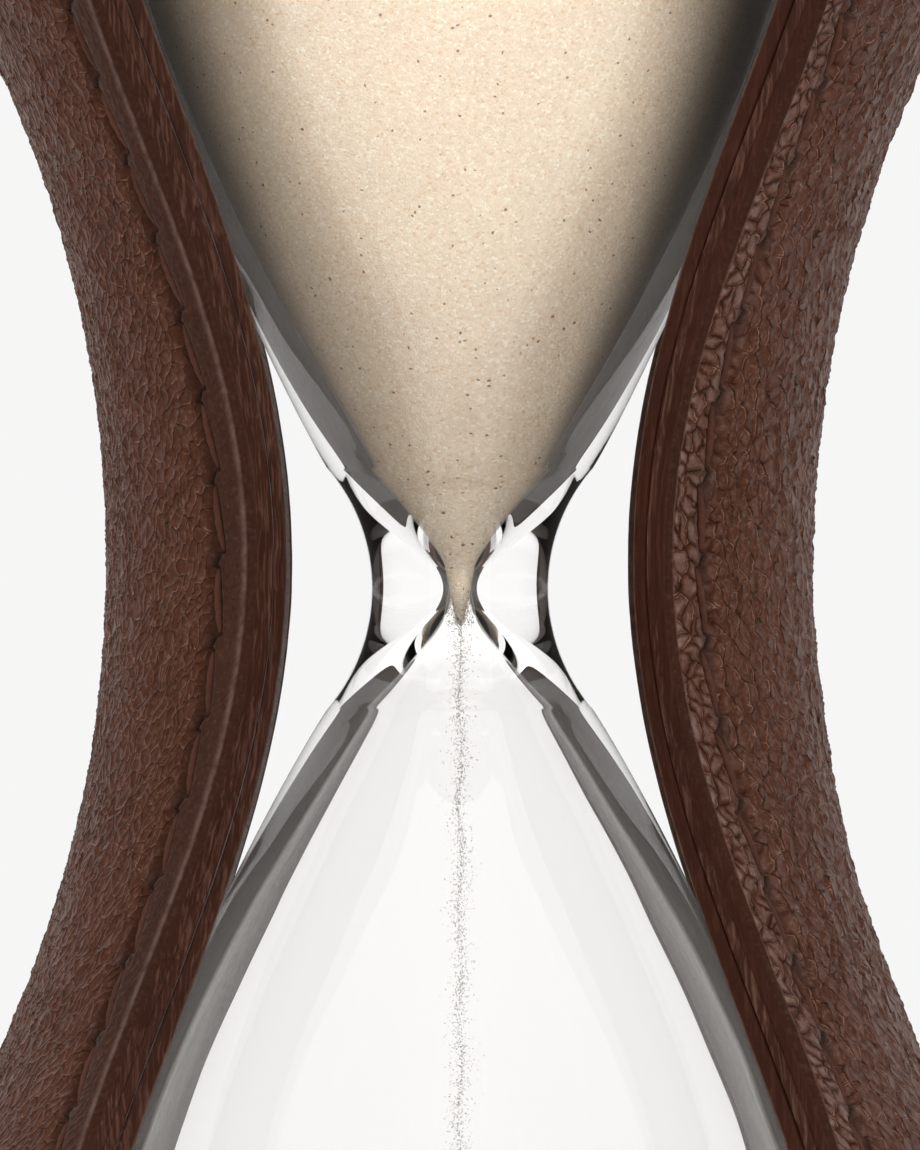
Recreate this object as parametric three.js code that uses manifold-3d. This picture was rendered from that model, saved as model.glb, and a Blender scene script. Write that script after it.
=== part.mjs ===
// A leather-clad hourglass, in millimetres, +Z up, standing on its lower cap at z = 0.
//
// A one-piece blown glass vessel holds the sand. Its two ends sit on cork rings in two wooden caps,
// each wrapped in leather. Two curved leather side panels join the caps and leave a waisted window
// at the front (-Y) and at the back (+Y). Each panel is a sandwich: an outer leather, a steel
// stiffener framed by two leather filler strips, and a lining leather, sewn along both long edges.
// Lugs bent from the stiffeners take the screws that come down through the wooden cap cores.
import * as THREE from "three";
import { mergeVertices } from "three/addons/utils/BufferGeometryUtils.js";
import Module from "manifold-3d";

const wasm = await Module();
wasm.setup();

// ---------------------------------------------------------------- driving dimensions
const fit = 0.3; // clearance between round pieces that seat in each other

const panel = {
  waistRadius: 23.5, // outer face of the leather at mid height
  waistCurve: 78.3, // radius of the hollow waist arc, seen from the front
  flareAngle: THREE.MathUtils.degToRad(29), // steepest lean of the wall
  halfHeight: 72, // mid height to the panel's end
  windowWaist: 13.5, // half width of the window at mid height
  windowSwing: 6.7, // half of what the window gains on each side
  windowSpan: 54, // height above mid height where the window is widest
  leather: 1.35, // outer leather and lining leather, each
  middle: 0.8, // stiffener and filler strips
  glueLine: 0.25, // between the plies
  fillerWidth: 8.5,
  stiffenerInset: 9,
};

const stitch = {
  inset: 3.1, // from a panel's cut edge to its seam
  capInset: 3.4, // from a cap's core edge to its seam
  thread: 0.35, // thread radius
  threadDepth: 0.15, // centre of the thread below the leather's face
  grooveTop: 1.5, // groove width at the leather's face
  grooveFloor: 0.9, // groove width at its floor
  grooveDepth: 0.8,
};

const glass = {
  neckDrop: 1.9, // the throat lies this far below mid height
  neckRadius: 5.9,
  neckCurve: 12.2,
  coneAngle: THREE.MathUtils.degToRad(40.4), // where the neck's arc runs into the bulb
  conePull: 1, // Bezier handle at the end of the neck's arc
  bulbPull: 22, // Bezier handle below the widest ring
  bulbRadius: 26.8,
  endCurve: 12,
  throatRadius: 0.8,
  throatCurve: 3.3,
  boreAngle: THREE.MathUtils.degToRad(30.4),
  borePull: 3.2,
  innerBulbPull: 30,
  sideWall: 1.8,
  endWall: 2.2,
  fillHole: 4, // radius of the filling hole in the lower end
};

const sand = {
  level: 50, // sand surface above the throat
  craterRadius: 13,
  craterDepth: 8,
  start: 1.2, // lowest sand of the upper bulb above the throat
  streamRadius: 0.45,
  heapMargin: 0.8, // bare floor left round the heap
  heapHeight: 8.5,
  heapSkirt: 0.6, // thickness of the heap at its rim
};

const cap = {
  overhang: 1.4, // core radius beyond the panel's outer face
  coreThickness: 6.7,
  leather: 1.3,
  seatThickness: 2.5,
  stopperClearance: 0.4, // round the stopper's head in the seat ring
  bulbClearance: 0.6, // round the bulb where it enters the cap
};

const stopper = { headLip: 0.8, headHeight: 1.9 };

const screw = {
  shank: 1.5,
  head: 2.9,
  headDepth: 1.6,
  pointLength: 1.2, // shank below the lug
  spread: THREE.MathUtils.degToRad(22), // each side of the panel's middle
};

const lug = { width: 10, thickness: 1.2, reach: 8.5 };

const roundSteps = 32; // facets round the caps and the glass
const panelRows = 16; // facets along a panel
const panelFacets = 9; // facets across a panel between its seams

// ---------------------------------------------------------------- derived dimensions
const waistArcHeight = panel.waistCurve * Math.sin(panel.flareAngle);
const shoulderCurve = (panel.halfHeight - waistArcHeight) / Math.sin(panel.flareAngle);
const flareGain = 1 - Math.cos(panel.flareAngle);
const panelEndRadius = panel.waistRadius + (panel.waistCurve + shoulderCurve) * flareGain;
const depth = {
  middleOut: panel.leather + panel.glueLine,
  middleIn: panel.leather + panel.glueLine + panel.middle,
  liningOut: panel.leather + 2 * panel.glueLine + panel.middle,
  liningIn: 2 * panel.leather + 2 * panel.glueLine + panel.middle,
};
const coreRadius = panelEndRadius + cap.overhang;
const capInner = panel.halfHeight; // the cap's levels, above mid height
const coreInner = capInner + cap.leather;
const coreOuter = coreInner + cap.coreThickness;
const capOuter = coreOuter + cap.leather;
const capRadius = coreRadius + fit + cap.leather;
const seatFloor = coreInner + cap.bulbClearance + cap.seatThickness;
const bulbEnd = seatFloor - cap.seatThickness - fit;
const throatHeight = -glass.neckDrop;
const upperLength = bulbEnd - throatHeight;
const lowerLength = bulbEnd + throatHeight;
const screwCircle = panelEndRadius - depth.liningIn - lug.reach / 2;
const bulbMouth = bulbRadiusAt(capInner - cap.leather) + cap.bulbClearance;
const stopperHead = glass.fillHole + stopper.headLip;
const floorRadius = glass.bulbRadius - glass.endCurve; // flat part of a bulb's end

// ---------------------------------------------------------------- solids and booleans
/** A closed three.js geometry as a manifold-3d solid. */
function solidOf(geometry) {
  const bare = geometry.index ? geometry.toNonIndexed() : geometry.clone();
  bare.deleteAttribute("normal");
  bare.deleteAttribute("uv");
  const merged = mergeVertices(bare, 1e-4);
  return new wasm.Manifold(
    new wasm.Mesh({
      numProp: 3,
      vertProperties: new Float32Array(merged.attributes.position.array),
      triVerts: new Uint32Array(merged.index.array),
    }),
  );
}

/** A manifold-3d solid back as a three.js geometry. */
function geometryOf(solid) {
  const mesh = solid.getMesh();
  const geometry = new THREE.BufferGeometry();
  geometry.setAttribute("position", new THREE.BufferAttribute(mesh.vertProperties, 3));
  geometry.setIndex(new THREE.BufferAttribute(mesh.triVerts, 1));
  geometry.computeVertexNormals();
  return geometry;
}

/** The [radius, height] pairs turned round the Z axis. */
function turned(pairs, steps = roundSteps) {
  const points = pairs.map(([r, z]) => new THREE.Vector2(r, z));
  return new THREE.LatheGeometry(points, steps).rotateX(Math.PI / 2);
}

/** A ring of rectangular section between two radii and two heights. */
function ring(inner, outer, low, high, steps = roundSteps) {
  return turned([[inner, low], [outer, low], [outer, high], [inner, high], [inner, low]], steps);
}

// ---------------------------------------------------------------- the side panels
/** Radius and inward lean of the panel's outer face at a height from mid height. */
function wallAt(height) {
  const h = Math.abs(height);
  const sign = Math.sign(height);
  if (h < waistArcHeight) {
    const lean = Math.asin(h / panel.waistCurve);
    const radius = panel.waistRadius + panel.waistCurve * (1 - Math.cos(lean));
    return { radius, lean: sign * lean };
  }
  const lean = Math.asin((panel.halfHeight - Math.min(h, panel.halfHeight)) / shoulderCurve);
  const radius = panelEndRadius - shoulderCurve * (1 - Math.cos(lean));
  return { radius, lean: sign * lean };
}

/** Angle from the front (-Y) round to the panel's cut edge at a height. */
function edgeAngle(height) {
  const turn = (Math.PI * Math.min(Math.abs(height), panel.windowSpan)) / panel.windowSpan;
  const halfWidth = panel.windowWaist + panel.windowSwing * (1 - Math.cos(turn));
  return Math.asin(halfWidth / wallAt(height).radius);
}

/**
 * A point of the +X panel. column is [share, mm]: the share of the way from the front cut edge to
 * the back one, then so many millimetres round the outer face. inward is the depth under that face.
 */
function panelPoint([share, mm], height, inward) {
  const { radius, lean } = wallAt(height);
  const edge = edgeAngle(height);
  const angle = edge + share * (Math.PI - 2 * edge) + mm / radius;
  const r = radius - inward * Math.cos(lean);
  const z = height + inward * Math.sin(lean);
  return new THREE.Vector3(r * Math.sin(angle), -r * Math.cos(angle), z);
}

/** A ply of the +X panel: a box bent to the columns and to the panel's rows. */
function ply(columns, outDepth, inDepth, endHeight = panel.halfHeight) {
  const box = new THREE.BoxGeometry(1, 1, 1, columns.length - 1, panelRows, 1);
  const at = box.attributes.position;
  for (let i = 0; i < at.count; i++) {
    const column = columns[Math.round((at.getX(i) + 0.5) * (columns.length - 1))];
    const height = 2 * at.getY(i) * endHeight;
    const inward = at.getZ(i) > 0 ? outDepth + (column[2] ?? 0) : inDepth;
    at.setXYZ(i, ...panelPoint(column, height, inward).toArray());
  }
  return box;
}

/** Columns across a seam groove, measured from one cut edge; the third value is the extra depth. */
function grooveColumns(share, sign) {
  const top = stitch.grooveTop / 2;
  const floor = stitch.grooveFloor / 2;
  return [
    [share, sign * (stitch.inset - top), 0],
    [share, sign * (stitch.inset - floor), stitch.grooveDepth],
    [share, sign * (stitch.inset + floor), stitch.grooveDepth],
    [share, sign * (stitch.inset + top), 0],
  ];
}

/** Even columns across a panel, keeping so many millimetres clear of each cut edge. */
function evenColumns(clear) {
  return Array.from({ length: panelFacets + 1 }, (_, i) => {
    const share = i / panelFacets;
    return [share, (1 - 2 * share) * clear];
  });
}

const plyJoin = (panel.fillerWidth + panel.stiffenerInset) / 2;

function outerLeather() {
  const seams = [grooveColumns(0, 1), grooveColumns(1, -1).reverse()];
  const columns = [[0, 0], ...seams[0], ...evenColumns(plyJoin), ...seams[1], [1, 0]];
  return ply(columns, 0, panel.leather);
}

function liningLeather() {
  const columns = [[0, 0], [0, plyJoin / 2], ...evenColumns(plyJoin), [1, -plyJoin / 2], [1, 0]];
  return ply(columns, depth.liningOut, depth.liningIn, panel.halfHeight - lug.thickness - fit);
}

function fillerStrip(share, sign) {
  const columns = [0, 0.5, 1].map((part) => [share, sign * part * panel.fillerWidth]);
  return ply(sign > 0 ? columns : columns.reverse(), depth.middleOut, depth.middleIn);
}

/** The steel stiffener with two drilled lugs bent inwards at each end. */
function stiffener() {
  let plate = solidOf(ply(evenColumns(panel.stiffenerInset), depth.middleOut, depth.middleIn));
  const cornerRadius = panelEndRadius - depth.middleOut - panel.middle / 4;
  const outerEnd = Math.sqrt(cornerRadius ** 2 - (lug.width / 2) ** 2);
  const innerEnd = panelEndRadius - depth.liningIn - lug.reach;
  for (const end of [-1, 1]) {
    for (const side of [-1, 1]) {
      const blade = new THREE.BoxGeometry(outerEnd - innerEnd, lug.width, lug.thickness);
      blade.translate((outerEnd + innerEnd) / 2, 0, end * (panel.halfHeight - lug.thickness / 2));
      const hole = new THREE.CylinderGeometry(screw.shank + fit, screw.shank + fit, 8 * lug.thickness, 12);
      hole.rotateX(Math.PI / 2).translate(screwCircle, 0, end * panel.halfHeight);
      blade.rotateZ(side * screw.spread);
      hole.rotateZ(side * screw.spread);
      plate = plate.add(solidOf(blade)).subtract(solidOf(hole));
    }
  }
  return geometryOf(plate);
}

/** The thread that lies in a seam groove of the +X panel. */
function panelThread(share, sign) {
  const column = [share, sign * stitch.inset];
  const ends = panel.halfHeight - stitch.inset;
  const heights = Array.from({ length: panelRows + 1 }, (_, i) => ends * ((2 * i) / panelRows - 1));
  const route = new THREE.CatmullRomCurve3(heights.map((h) => panelPoint(column, h, stitch.threadDepth)));
  const section = new THREE.Shape().absarc(0, 0, stitch.thread, 0, 2 * Math.PI, false);
  return new THREE.ExtrudeGeometry(section, {
    steps: panelRows, extrudePath: route, curveSegments: 3, bevelEnabled: false,
  });
}

// ---------------------------------------------------------------- the glass and the sand
/**
 * Half of a bulb's outline as [radius, height above the throat], from the throat to the flat end:
 * a waist arc, a Bezier that swells to the widest ring, and the arc that turns into the end.
 */
function bulbOutline(neck, curve, angle, pull, bulbPull, radius, length, corner) {
  const waist = new THREE.ArcCurve(neck + curve, 0, curve, Math.PI, Math.PI - angle, true);
  const from = waist.getPoint(1);
  const swell = new THREE.CubicBezierCurve(
    from,
    new THREE.Vector2(from.x + pull * Math.tan(angle), from.y + pull),
    new THREE.Vector2(radius, length - corner - bulbPull),
    new THREE.Vector2(radius, length - corner),
  );
  const turn = new THREE.ArcCurve(radius - corner, length - corner, corner, 0, Math.PI / 2, false);
  const points = [...waist.getPoints(4), ...swell.getPoints(8).slice(1), ...turn.getPoints(4).slice(1)];
  return points.map((p) => [p.x, p.y]);
}

function outerOutline(length) {
  const { neckRadius, neckCurve, coneAngle, conePull, bulbPull, bulbRadius, endCurve } = glass;
  return bulbOutline(neckRadius, neckCurve, coneAngle, conePull, bulbPull, bulbRadius, length, endCurve);
}

function innerOutline(length) {
  const { throatRadius, throatCurve, boreAngle, borePull, innerBulbPull } = glass;
  const radius = glass.bulbRadius - glass.sideWall;
  const corner = glass.endCurve - glass.sideWall;
  const inside = length - glass.endWall;
  return bulbOutline(throatRadius, throatCurve, boreAngle, borePull, innerBulbPull, radius, inside, corner);
}

/** The bulb's outer radius where its end arc crosses a height above mid height. */
function bulbRadiusAt(height) {
  const rise = Math.max(0, height - (bulbEnd - glass.endCurve));
  return glass.bulbRadius - glass.endCurve + Math.sqrt(Math.max(0, glass.endCurve ** 2 - rise ** 2));
}

const up = ([r, z]) => [r, throatHeight + z];
const down = ([r, z]) => [r, throatHeight - z];

function glassVessel() {
  const upperOut = outerOutline(upperLength).map(up);
  const lowerOut = outerOutline(lowerLength).map(down);
  const upperIn = innerOutline(upperLength).map(up);
  const lowerIn = innerOutline(lowerLength).map(down);
  return turned([
    [0, bulbEnd - glass.endWall],
    ...upperIn.reverse(), ...lowerIn.slice(1),
    [glass.fillHole, -bulbEnd + glass.endWall], [glass.fillHole, -bulbEnd],
    ...lowerOut.reverse(), ...upperOut.slice(1),
    [0, bulbEnd],
  ]);
}

/** Cork that closes the filling hole: a shank in the glass and a head in the seat ring's hole. */
function fillStopper() {
  const shank = glass.fillHole - fit;
  const top = -bulbEnd + glass.endWall;
  return turned([
    [0, -bulbEnd - fit - stopper.headHeight], [stopperHead, -bulbEnd - fit - stopper.headHeight],
    [stopperHead, -bulbEnd - fit], [shank, -bulbEnd - fit], [shank, top], [0, top],
  ], roundSteps / 2);
}

/** Sand in the upper bulb, with the crater that forms as it drains. */
function upperSand() {
  const wall = innerOutline(upperLength).filter(([, z]) => z > sand.start && z < sand.level);
  const slack = ([r, z]) => up([r - fit, z]);
  const rim = wall[wall.length - 1][0] - fit;
  return turned([
    up([0, sand.start]), up([sand.streamRadius, sand.start]),
    ...wall.map(slack),
    up([rim, sand.level]), up([sand.craterRadius, sand.level]), up([0, sand.level - sand.craterDepth]),
  ]);
}

/** Sand heaped on the floor of the lower bulb. */
function lowerSand() {
  const floor = -bulbEnd + glass.endWall + fit;
  const rim = floorRadius - sand.heapMargin;
  return turned([
    [0, floor], [rim, floor], [rim, floor + sand.heapSkirt],
    [rim * 0.55, floor + sand.heapHeight / 2], [0, floor + sand.heapHeight],
  ]);
}

/** The thread of falling sand, from the throat to the top of the heap. */
function fallingSand() {
  const high = throatHeight + sand.start - fit;
  const low = -bulbEnd + glass.endWall + sand.heapHeight + 2 * fit;
  const r = sand.streamRadius;
  return turned([[0, low], [r, low], [r, high], [0, high]], 8);
}

// ---------------------------------------------------------------- the caps
/** Four tools, one at each lug's screw, ready to cut from a cap piece. */
function atScrews(makeTool) {
  const turns = [screw.spread, -screw.spread, Math.PI - screw.spread, Math.PI + screw.spread];
  return turns.map((turn) => makeTool().translate(screwCircle, 0, 0).rotateZ(turn));
}

function screwProfile(grow) {
  const neck = coreOuter - screw.headDepth;
  const tip = capInner - lug.thickness - screw.pointLength - grow;
  return [
    [0, tip], [screw.shank + grow, tip], [screw.shank + grow, neck],
    [screw.head + grow, coreOuter], [0, coreOuter],
  ];
}

/** The screw clearance as a tool: the screw grown by the fit, running on past the core's face. */
function screwHole() {
  const profile = screwProfile(fit);
  profile.splice(4, 1, [screw.head + fit, coreOuter + 1], [0, coreOuter + 1]);
  return turned(profile, 12);
}

/** A cap piece with the four screw holes cut from it. */
function drilled(geometry) {
  return atScrews(screwHole).reduce((left, tool) => left.subtract(solidOf(tool)), solidOf(geometry));
}

/** Wooden core: a recess for the cork seat and four countersunk holes. */
function capCore() {
  return geometryOf(drilled(turned([
    [0, seatFloor], [bulbMouth, seatFloor], [bulbMouth, coreInner], [coreRadius, coreInner],
    [coreRadius, coreOuter], [0, coreOuter],
  ])));
}

/** Leather on the cap's outward face, grooved for its seam. */
function faceLeather() {
  const seam = coreRadius - stitch.capInset;
  const floor = capOuter - stitch.grooveDepth;
  return turned([
    [0, coreOuter], [coreRadius, coreOuter], [coreRadius, capOuter],
    [seam + stitch.grooveTop / 2, capOuter], [seam + stitch.grooveFloor / 2, floor],
    [seam - stitch.grooveFloor / 2, floor], [seam - stitch.grooveTop / 2, capOuter],
    [0, capOuter],
  ]);
}

/** Leather on the face that looks at the glass, with the bulb's mouth and the screw holes. */
function innerLeather() {
  return geometryOf(drilled(ring(bulbMouth, coreRadius, capInner, coreInner)));
}

function rimLeather() {
  return ring(coreRadius + fit, capRadius, capInner, capOuter);
}

function bulbSeat() {
  return ring(stopperHead + cap.stopperClearance, bulbMouth - fit, seatFloor - cap.seatThickness, seatFloor);
}

/** The ring of thread in a cap's seam groove, sunk just under the face. */
function capThread() {
  const thread = new THREE.TorusGeometry(coreRadius - stitch.capInset, stitch.thread, 6, roundSteps);
  return thread.translate(0, 0, capOuter - stitch.thread - 0.02);
}

// ---------------------------------------------------------------- materials
const matte = (color, roughness, metalness = 0) =>
  new THREE.MeshStandardMaterial({ color, roughness, metalness });
const materials = {
  leather: matte(0x4b2c22, 0.6),
  cutLeather: matte(0x3d1c12, 0.75),
  lining: matte(0x3a1d13, 0.7),
  thread: matte(0x3a1a12, 0.7),
  steel: matte(0x8d9196, 0.35, 0.9),
  wood: matte(0xb58a5a, 0.65),
  cork: matte(0xb48a5e, 0.9),
  sand: matte(0xd9c8a8, 0.95),
  glass: new THREE.MeshStandardMaterial({
    color: 0xf4f6f5, roughness: 0.03, transparent: true, opacity: 0.3,
  }),
};

// ---------------------------------------------------------------- assembly
const hourglass = new THREE.Group();
hourglass.position.z = capOuter; // mid height above the surface that it stands on

function place(parent, name, geometry, material) {
  const mesh = new THREE.Mesh(geometry, material);
  mesh.name = name;
  parent.add(mesh);
  return mesh;
}

place(hourglass, "glass_vessel", glassVessel(), materials.glass);
place(hourglass, "fill_stopper", fillStopper(), materials.cork);
place(hourglass, "upper_sand", upperSand(), materials.sand);
place(hourglass, "falling_sand", fallingSand(), materials.sand);
place(hourglass, "lower_sand", lowerSand(), materials.sand);

// The left panel is the right one turned half round, so its front edge is the right one's back edge.
for (const [side, turn, edges] of [["right", 0, ["front", "back"]], ["left", Math.PI, ["back", "front"]]]) {
  const half = new THREE.Group();
  half.rotation.z = turn;
  hourglass.add(half);
  place(half, `${side}_outer_leather`, outerLeather(), materials.leather);
  place(half, `${side}_lining_leather`, liningLeather(), materials.lining);
  place(half, `${side}_stiffener`, stiffener(), materials.steel);
  place(half, `${side}_${edges[0]}_filler`, fillerStrip(0, 1), materials.cutLeather);
  place(half, `${side}_${edges[1]}_filler`, fillerStrip(1, -1), materials.cutLeather);
  place(half, `${side}_${edges[0]}_thread`, panelThread(0, 1), materials.thread);
  place(half, `${side}_${edges[1]}_thread`, panelThread(1, -1), materials.thread);
}

for (const [end, tilt] of [["top", 0], ["bottom", Math.PI]]) {
  const lid = new THREE.Group();
  lid.rotation.x = tilt;
  hourglass.add(lid);
  place(lid, `${end}_cap_core`, capCore(), materials.wood);
  place(lid, `${end}_face_leather`, faceLeather(), materials.leather);
  place(lid, `${end}_inner_leather`, innerLeather(), materials.leather);
  place(lid, `${end}_rim_leather`, rimLeather(), materials.leather);
  place(lid, `${end}_bulb_seat`, bulbSeat(), materials.cork);
  place(lid, `${end}_face_thread`, capThread(), materials.thread);
  atScrews(() => turned(screwProfile(0), 12)).forEach((geometry, i) => {
    place(lid, `${end}_screw_${i + 1}`, geometry, materials.steel);
  });
}

export default hourglass;
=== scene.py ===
"""Looks of a leather-clad hourglass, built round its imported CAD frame.

Sizes in the classes are in millimetres, heights are above mid height, and make_mesh turns both into
the frame's metres. The glass, the sand, the leather, the thread and the cork are built here in fine
mesh; the stiffeners, the screws, the wooden cores and the inner cap leathers keep their CAD shape.
"""
import logging
import math
from collections.abc import Callable, Sequence
from dataclasses import dataclass, field
from enum import Enum

import bpy
import numpy as np
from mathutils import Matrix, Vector


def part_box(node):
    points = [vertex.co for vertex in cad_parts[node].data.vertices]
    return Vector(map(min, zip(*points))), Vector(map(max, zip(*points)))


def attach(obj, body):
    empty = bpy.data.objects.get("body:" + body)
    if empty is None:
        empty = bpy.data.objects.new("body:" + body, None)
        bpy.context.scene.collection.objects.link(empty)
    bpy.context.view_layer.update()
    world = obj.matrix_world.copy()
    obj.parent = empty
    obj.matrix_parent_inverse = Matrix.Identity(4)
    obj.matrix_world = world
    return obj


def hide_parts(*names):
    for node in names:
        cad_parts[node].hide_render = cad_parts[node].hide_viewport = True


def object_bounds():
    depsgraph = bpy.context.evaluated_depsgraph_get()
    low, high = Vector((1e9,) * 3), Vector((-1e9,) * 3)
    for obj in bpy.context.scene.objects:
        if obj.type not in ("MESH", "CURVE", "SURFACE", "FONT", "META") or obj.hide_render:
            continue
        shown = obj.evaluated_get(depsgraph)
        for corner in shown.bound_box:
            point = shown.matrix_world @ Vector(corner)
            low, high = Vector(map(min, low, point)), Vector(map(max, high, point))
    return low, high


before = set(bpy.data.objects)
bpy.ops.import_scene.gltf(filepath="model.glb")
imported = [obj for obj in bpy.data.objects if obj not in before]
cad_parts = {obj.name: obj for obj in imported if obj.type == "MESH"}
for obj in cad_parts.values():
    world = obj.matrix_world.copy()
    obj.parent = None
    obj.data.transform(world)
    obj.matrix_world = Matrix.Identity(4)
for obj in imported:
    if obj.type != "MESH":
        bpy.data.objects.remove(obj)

log = logging.getLogger("hourglass")
Array = np.ndarray
Colour = tuple[float, float, float]
Profile = tuple[tuple[float, ...], tuple[float, ...]]
Relief = Callable[[Array, Array, Array], Array]
Material = bpy.types.Material
Node = bpy.types.Node
NodeTree = bpy.types.NodeTree
Piece = bpy.types.Object
Socket = bpy.types.NodeSocket

MM = 0.001
CAD_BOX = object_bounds()
MID_HEIGHT = (CAD_BOX[0].z + CAD_BOX[1].z) / 2 / MM

# Where the painted shade on the sides of a turned piece starts and ends, as sines of the angle from the
# front at which they face sideways, the sine that this leans by, and the radii between which it sets in.
# The sand's finish darkens its colour there, standing in for the shade that the leather panels cast.
PANEL_SHADE_FACING = (0.7, 0.97)
PANEL_SHADE_TURN = 0.05
PANEL_SHADE_RADII = (2.0, 9.0)


class Side(Enum):
    """The two leather panels; the value is the turn about the vertical axis, in radians."""

    RIGHT = 0.0
    LEFT = math.pi


class Seam(Enum):
    """The two long seams of a panel, as they lie before the panel is turned into place."""

    FIRST = 0
    SECOND = 1


class End(Enum):
    """The two caps; the value is +1 for up and -1 for down."""

    TOP = 1
    BOTTOM = -1


# ------------------------------------------------------------------ patterns


class Pattern:
    """Seeded two-dimensional patterns in millimetres: smooth noise and skin cells."""

    TABLE = 256

    def __init__(self, seed: int) -> None:
        """Draws the random tables.

        Args:
            seed: number that fixes the pattern.
        """
        rng = np.random.default_rng(seed)
        self.values = rng.random((self.TABLE, self.TABLE))
        self.jitter = rng.random((self.TABLE, self.TABLE, 2))

    def noise(self, x: Array, y: Array, size: float) -> Array:
        """Smooth value noise.

        Args:
            x: first coordinate.
            y: second coordinate.
            size: distance between the noise's random points.

        Returns:
            Values from 0 to 1.
        """
        u, v = x / size, y / size
        i, j = np.floor(u).astype(int), np.floor(v).astype(int)
        fu, fv = u - i, v - j
        su, sv = fu * fu * (3 - 2 * fu), fv * fv * (3 - 2 * fv)
        low = self._at(i, j) * (1 - su) + self._at(i + 1, j) * su
        high = self._at(i, j + 1) * (1 - su) + self._at(i + 1, j + 1) * su
        return low * (1 - sv) + high * sv

    def _at(self, i: Array, j: Array) -> Array:
        """Table values at whole coordinates, repeated without end."""
        return self.values[i % self.TABLE, j % self.TABLE]

    def layered(self, x: Array, y: Array, size: float, layers: int = 4) -> Array:
        """Noise summed over halving sizes.

        Args:
            x: first coordinate.
            y: second coordinate.
            size: size of the largest layer.
            layers: number of layers.

        Returns:
            Values from 0 to 1.
        """
        total, weight = np.zeros_like(x), 0.0
        for k in range(layers):
            share = 0.5**k
            total = total + share * self.noise(x + 17.3 * k, y - 9.1 * k, size * share)
            weight += share
        return total / weight

    def cells(self, x: Array, y: Array, size: float, stretch: float, slant: float) -> Array:
        """Cells like the pebbles of a hide.

        Args:
            x: first coordinate.
            y: second coordinate.
            size: cell width.
            stretch: cell length over cell width.
            slant: turn of the long axis from y, in radians.

        Returns:
            Distance to the nearest cell border, from 0 up.
        """
        c, s = math.cos(slant), math.sin(slant)
        u, v = (x * c - y * s) / size, (x * s + y * c) / (size * stretch)
        i, j = np.floor(u).astype(int), np.floor(v).astype(int)
        near = np.full(u.shape, np.inf)
        second = np.full(u.shape, np.inf)
        for di in (-1, 0, 1):
            for dj in (-1, 0, 1):
                a, b = (i + di) % self.TABLE, (j + dj) % self.TABLE
                jitter = self.jitter[a, b]
                d = np.hypot(i + di + jitter[..., 0] - u, j + dj + jitter[..., 1] - v)
                closer = d < near
                second = np.where(closer, near, np.minimum(second, d))
                near = np.where(closer, d, near)
        return second - near


def smooth_step(low: float, high: float, x: Array) -> Array:
    """Ramp from 0 to 1 with soft ends.

    Args:
        low: where it leaves 0.
        high: where it reaches 1.
        x: values to map.

    Returns:
        The mapped values.
    """
    t = np.clip((x - low) / (high - low), 0, 1)
    return t * t * (3 - 2 * t)


def round_axis(radius: Array, angle: Array, height: Array) -> Array:
    """Points at a radius, at an angle from the front round to the right, and at a height."""
    return np.stack([radius * np.sin(angle), -radius * np.cos(angle), height], axis=-1)


# ------------------------------------------------------------------ meshes


def make_mesh(name: str, points: Array, faces: Sequence[Array], masks: dict[str, Array] | None = None,
              smooth: bool = True) -> Piece:
    """Makes an object from points in millimetres about mid height.

    Args:
        name: name of the piece.
        points: N by 3 array.
        faces: arrays of vertex numbers, one row a face.
        masks: values for each point, stored as attributes for the finishes.
        smooth: whether faces are shaded smooth.

    Returns:
        The object, linked to the scene.
    """
    place = (points + np.array([0.0, 0.0, MID_HEIGHT])) * MM
    mesh = bpy.data.meshes.new(name)
    sizes = np.concatenate([np.full(len(f), f.shape[1]) for f in faces])
    corners = np.concatenate([f.reshape(-1) for f in faces]).astype(np.int32)
    mesh.vertices.add(len(place))
    mesh.vertices.foreach_set("co", place.astype(np.float32).reshape(-1))
    mesh.loops.add(len(corners))
    mesh.loops.foreach_set("vertex_index", corners)
    mesh.polygons.add(len(sizes))
    mesh.polygons.foreach_set("loop_start", (np.cumsum(sizes) - sizes).astype(np.int32))
    mesh.polygons.foreach_set("use_smooth", np.full(len(sizes), smooth))
    for key, values in (masks or {}).items():
        layer = mesh.attributes.new(key, "FLOAT", "POINT")
        layer.data.foreach_set("value", np.asarray(values, np.float32).reshape(-1))
    mesh.update()
    mesh.validate()
    piece = bpy.data.objects.new(name, mesh)
    bpy.context.scene.collection.objects.link(piece)
    return piece


def grid_faces(rows: int, columns: int, closed_columns: bool, closed_rows: bool = False) -> Array:
    """Quads between the rows of a grid of points.

    Args:
        rows: number of rows.
        columns: number of columns.
        closed_columns: whether the last column joins the first.
        closed_rows: whether the last row joins the first.

    Returns:
        M by 4 array of vertex numbers.
    """
    r = np.arange(rows if closed_rows else rows - 1)[:, None]
    c = np.arange(columns if closed_columns else columns - 1)[None, :]
    r2, c2 = (r + 1) % rows, (c + 1) % columns
    corners = [r * columns + c, r * columns + c2, r2 * columns + c2, r2 * columns + c]
    return np.stack(np.broadcast_arrays(*corners), axis=-1).reshape(-1, 4)


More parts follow.
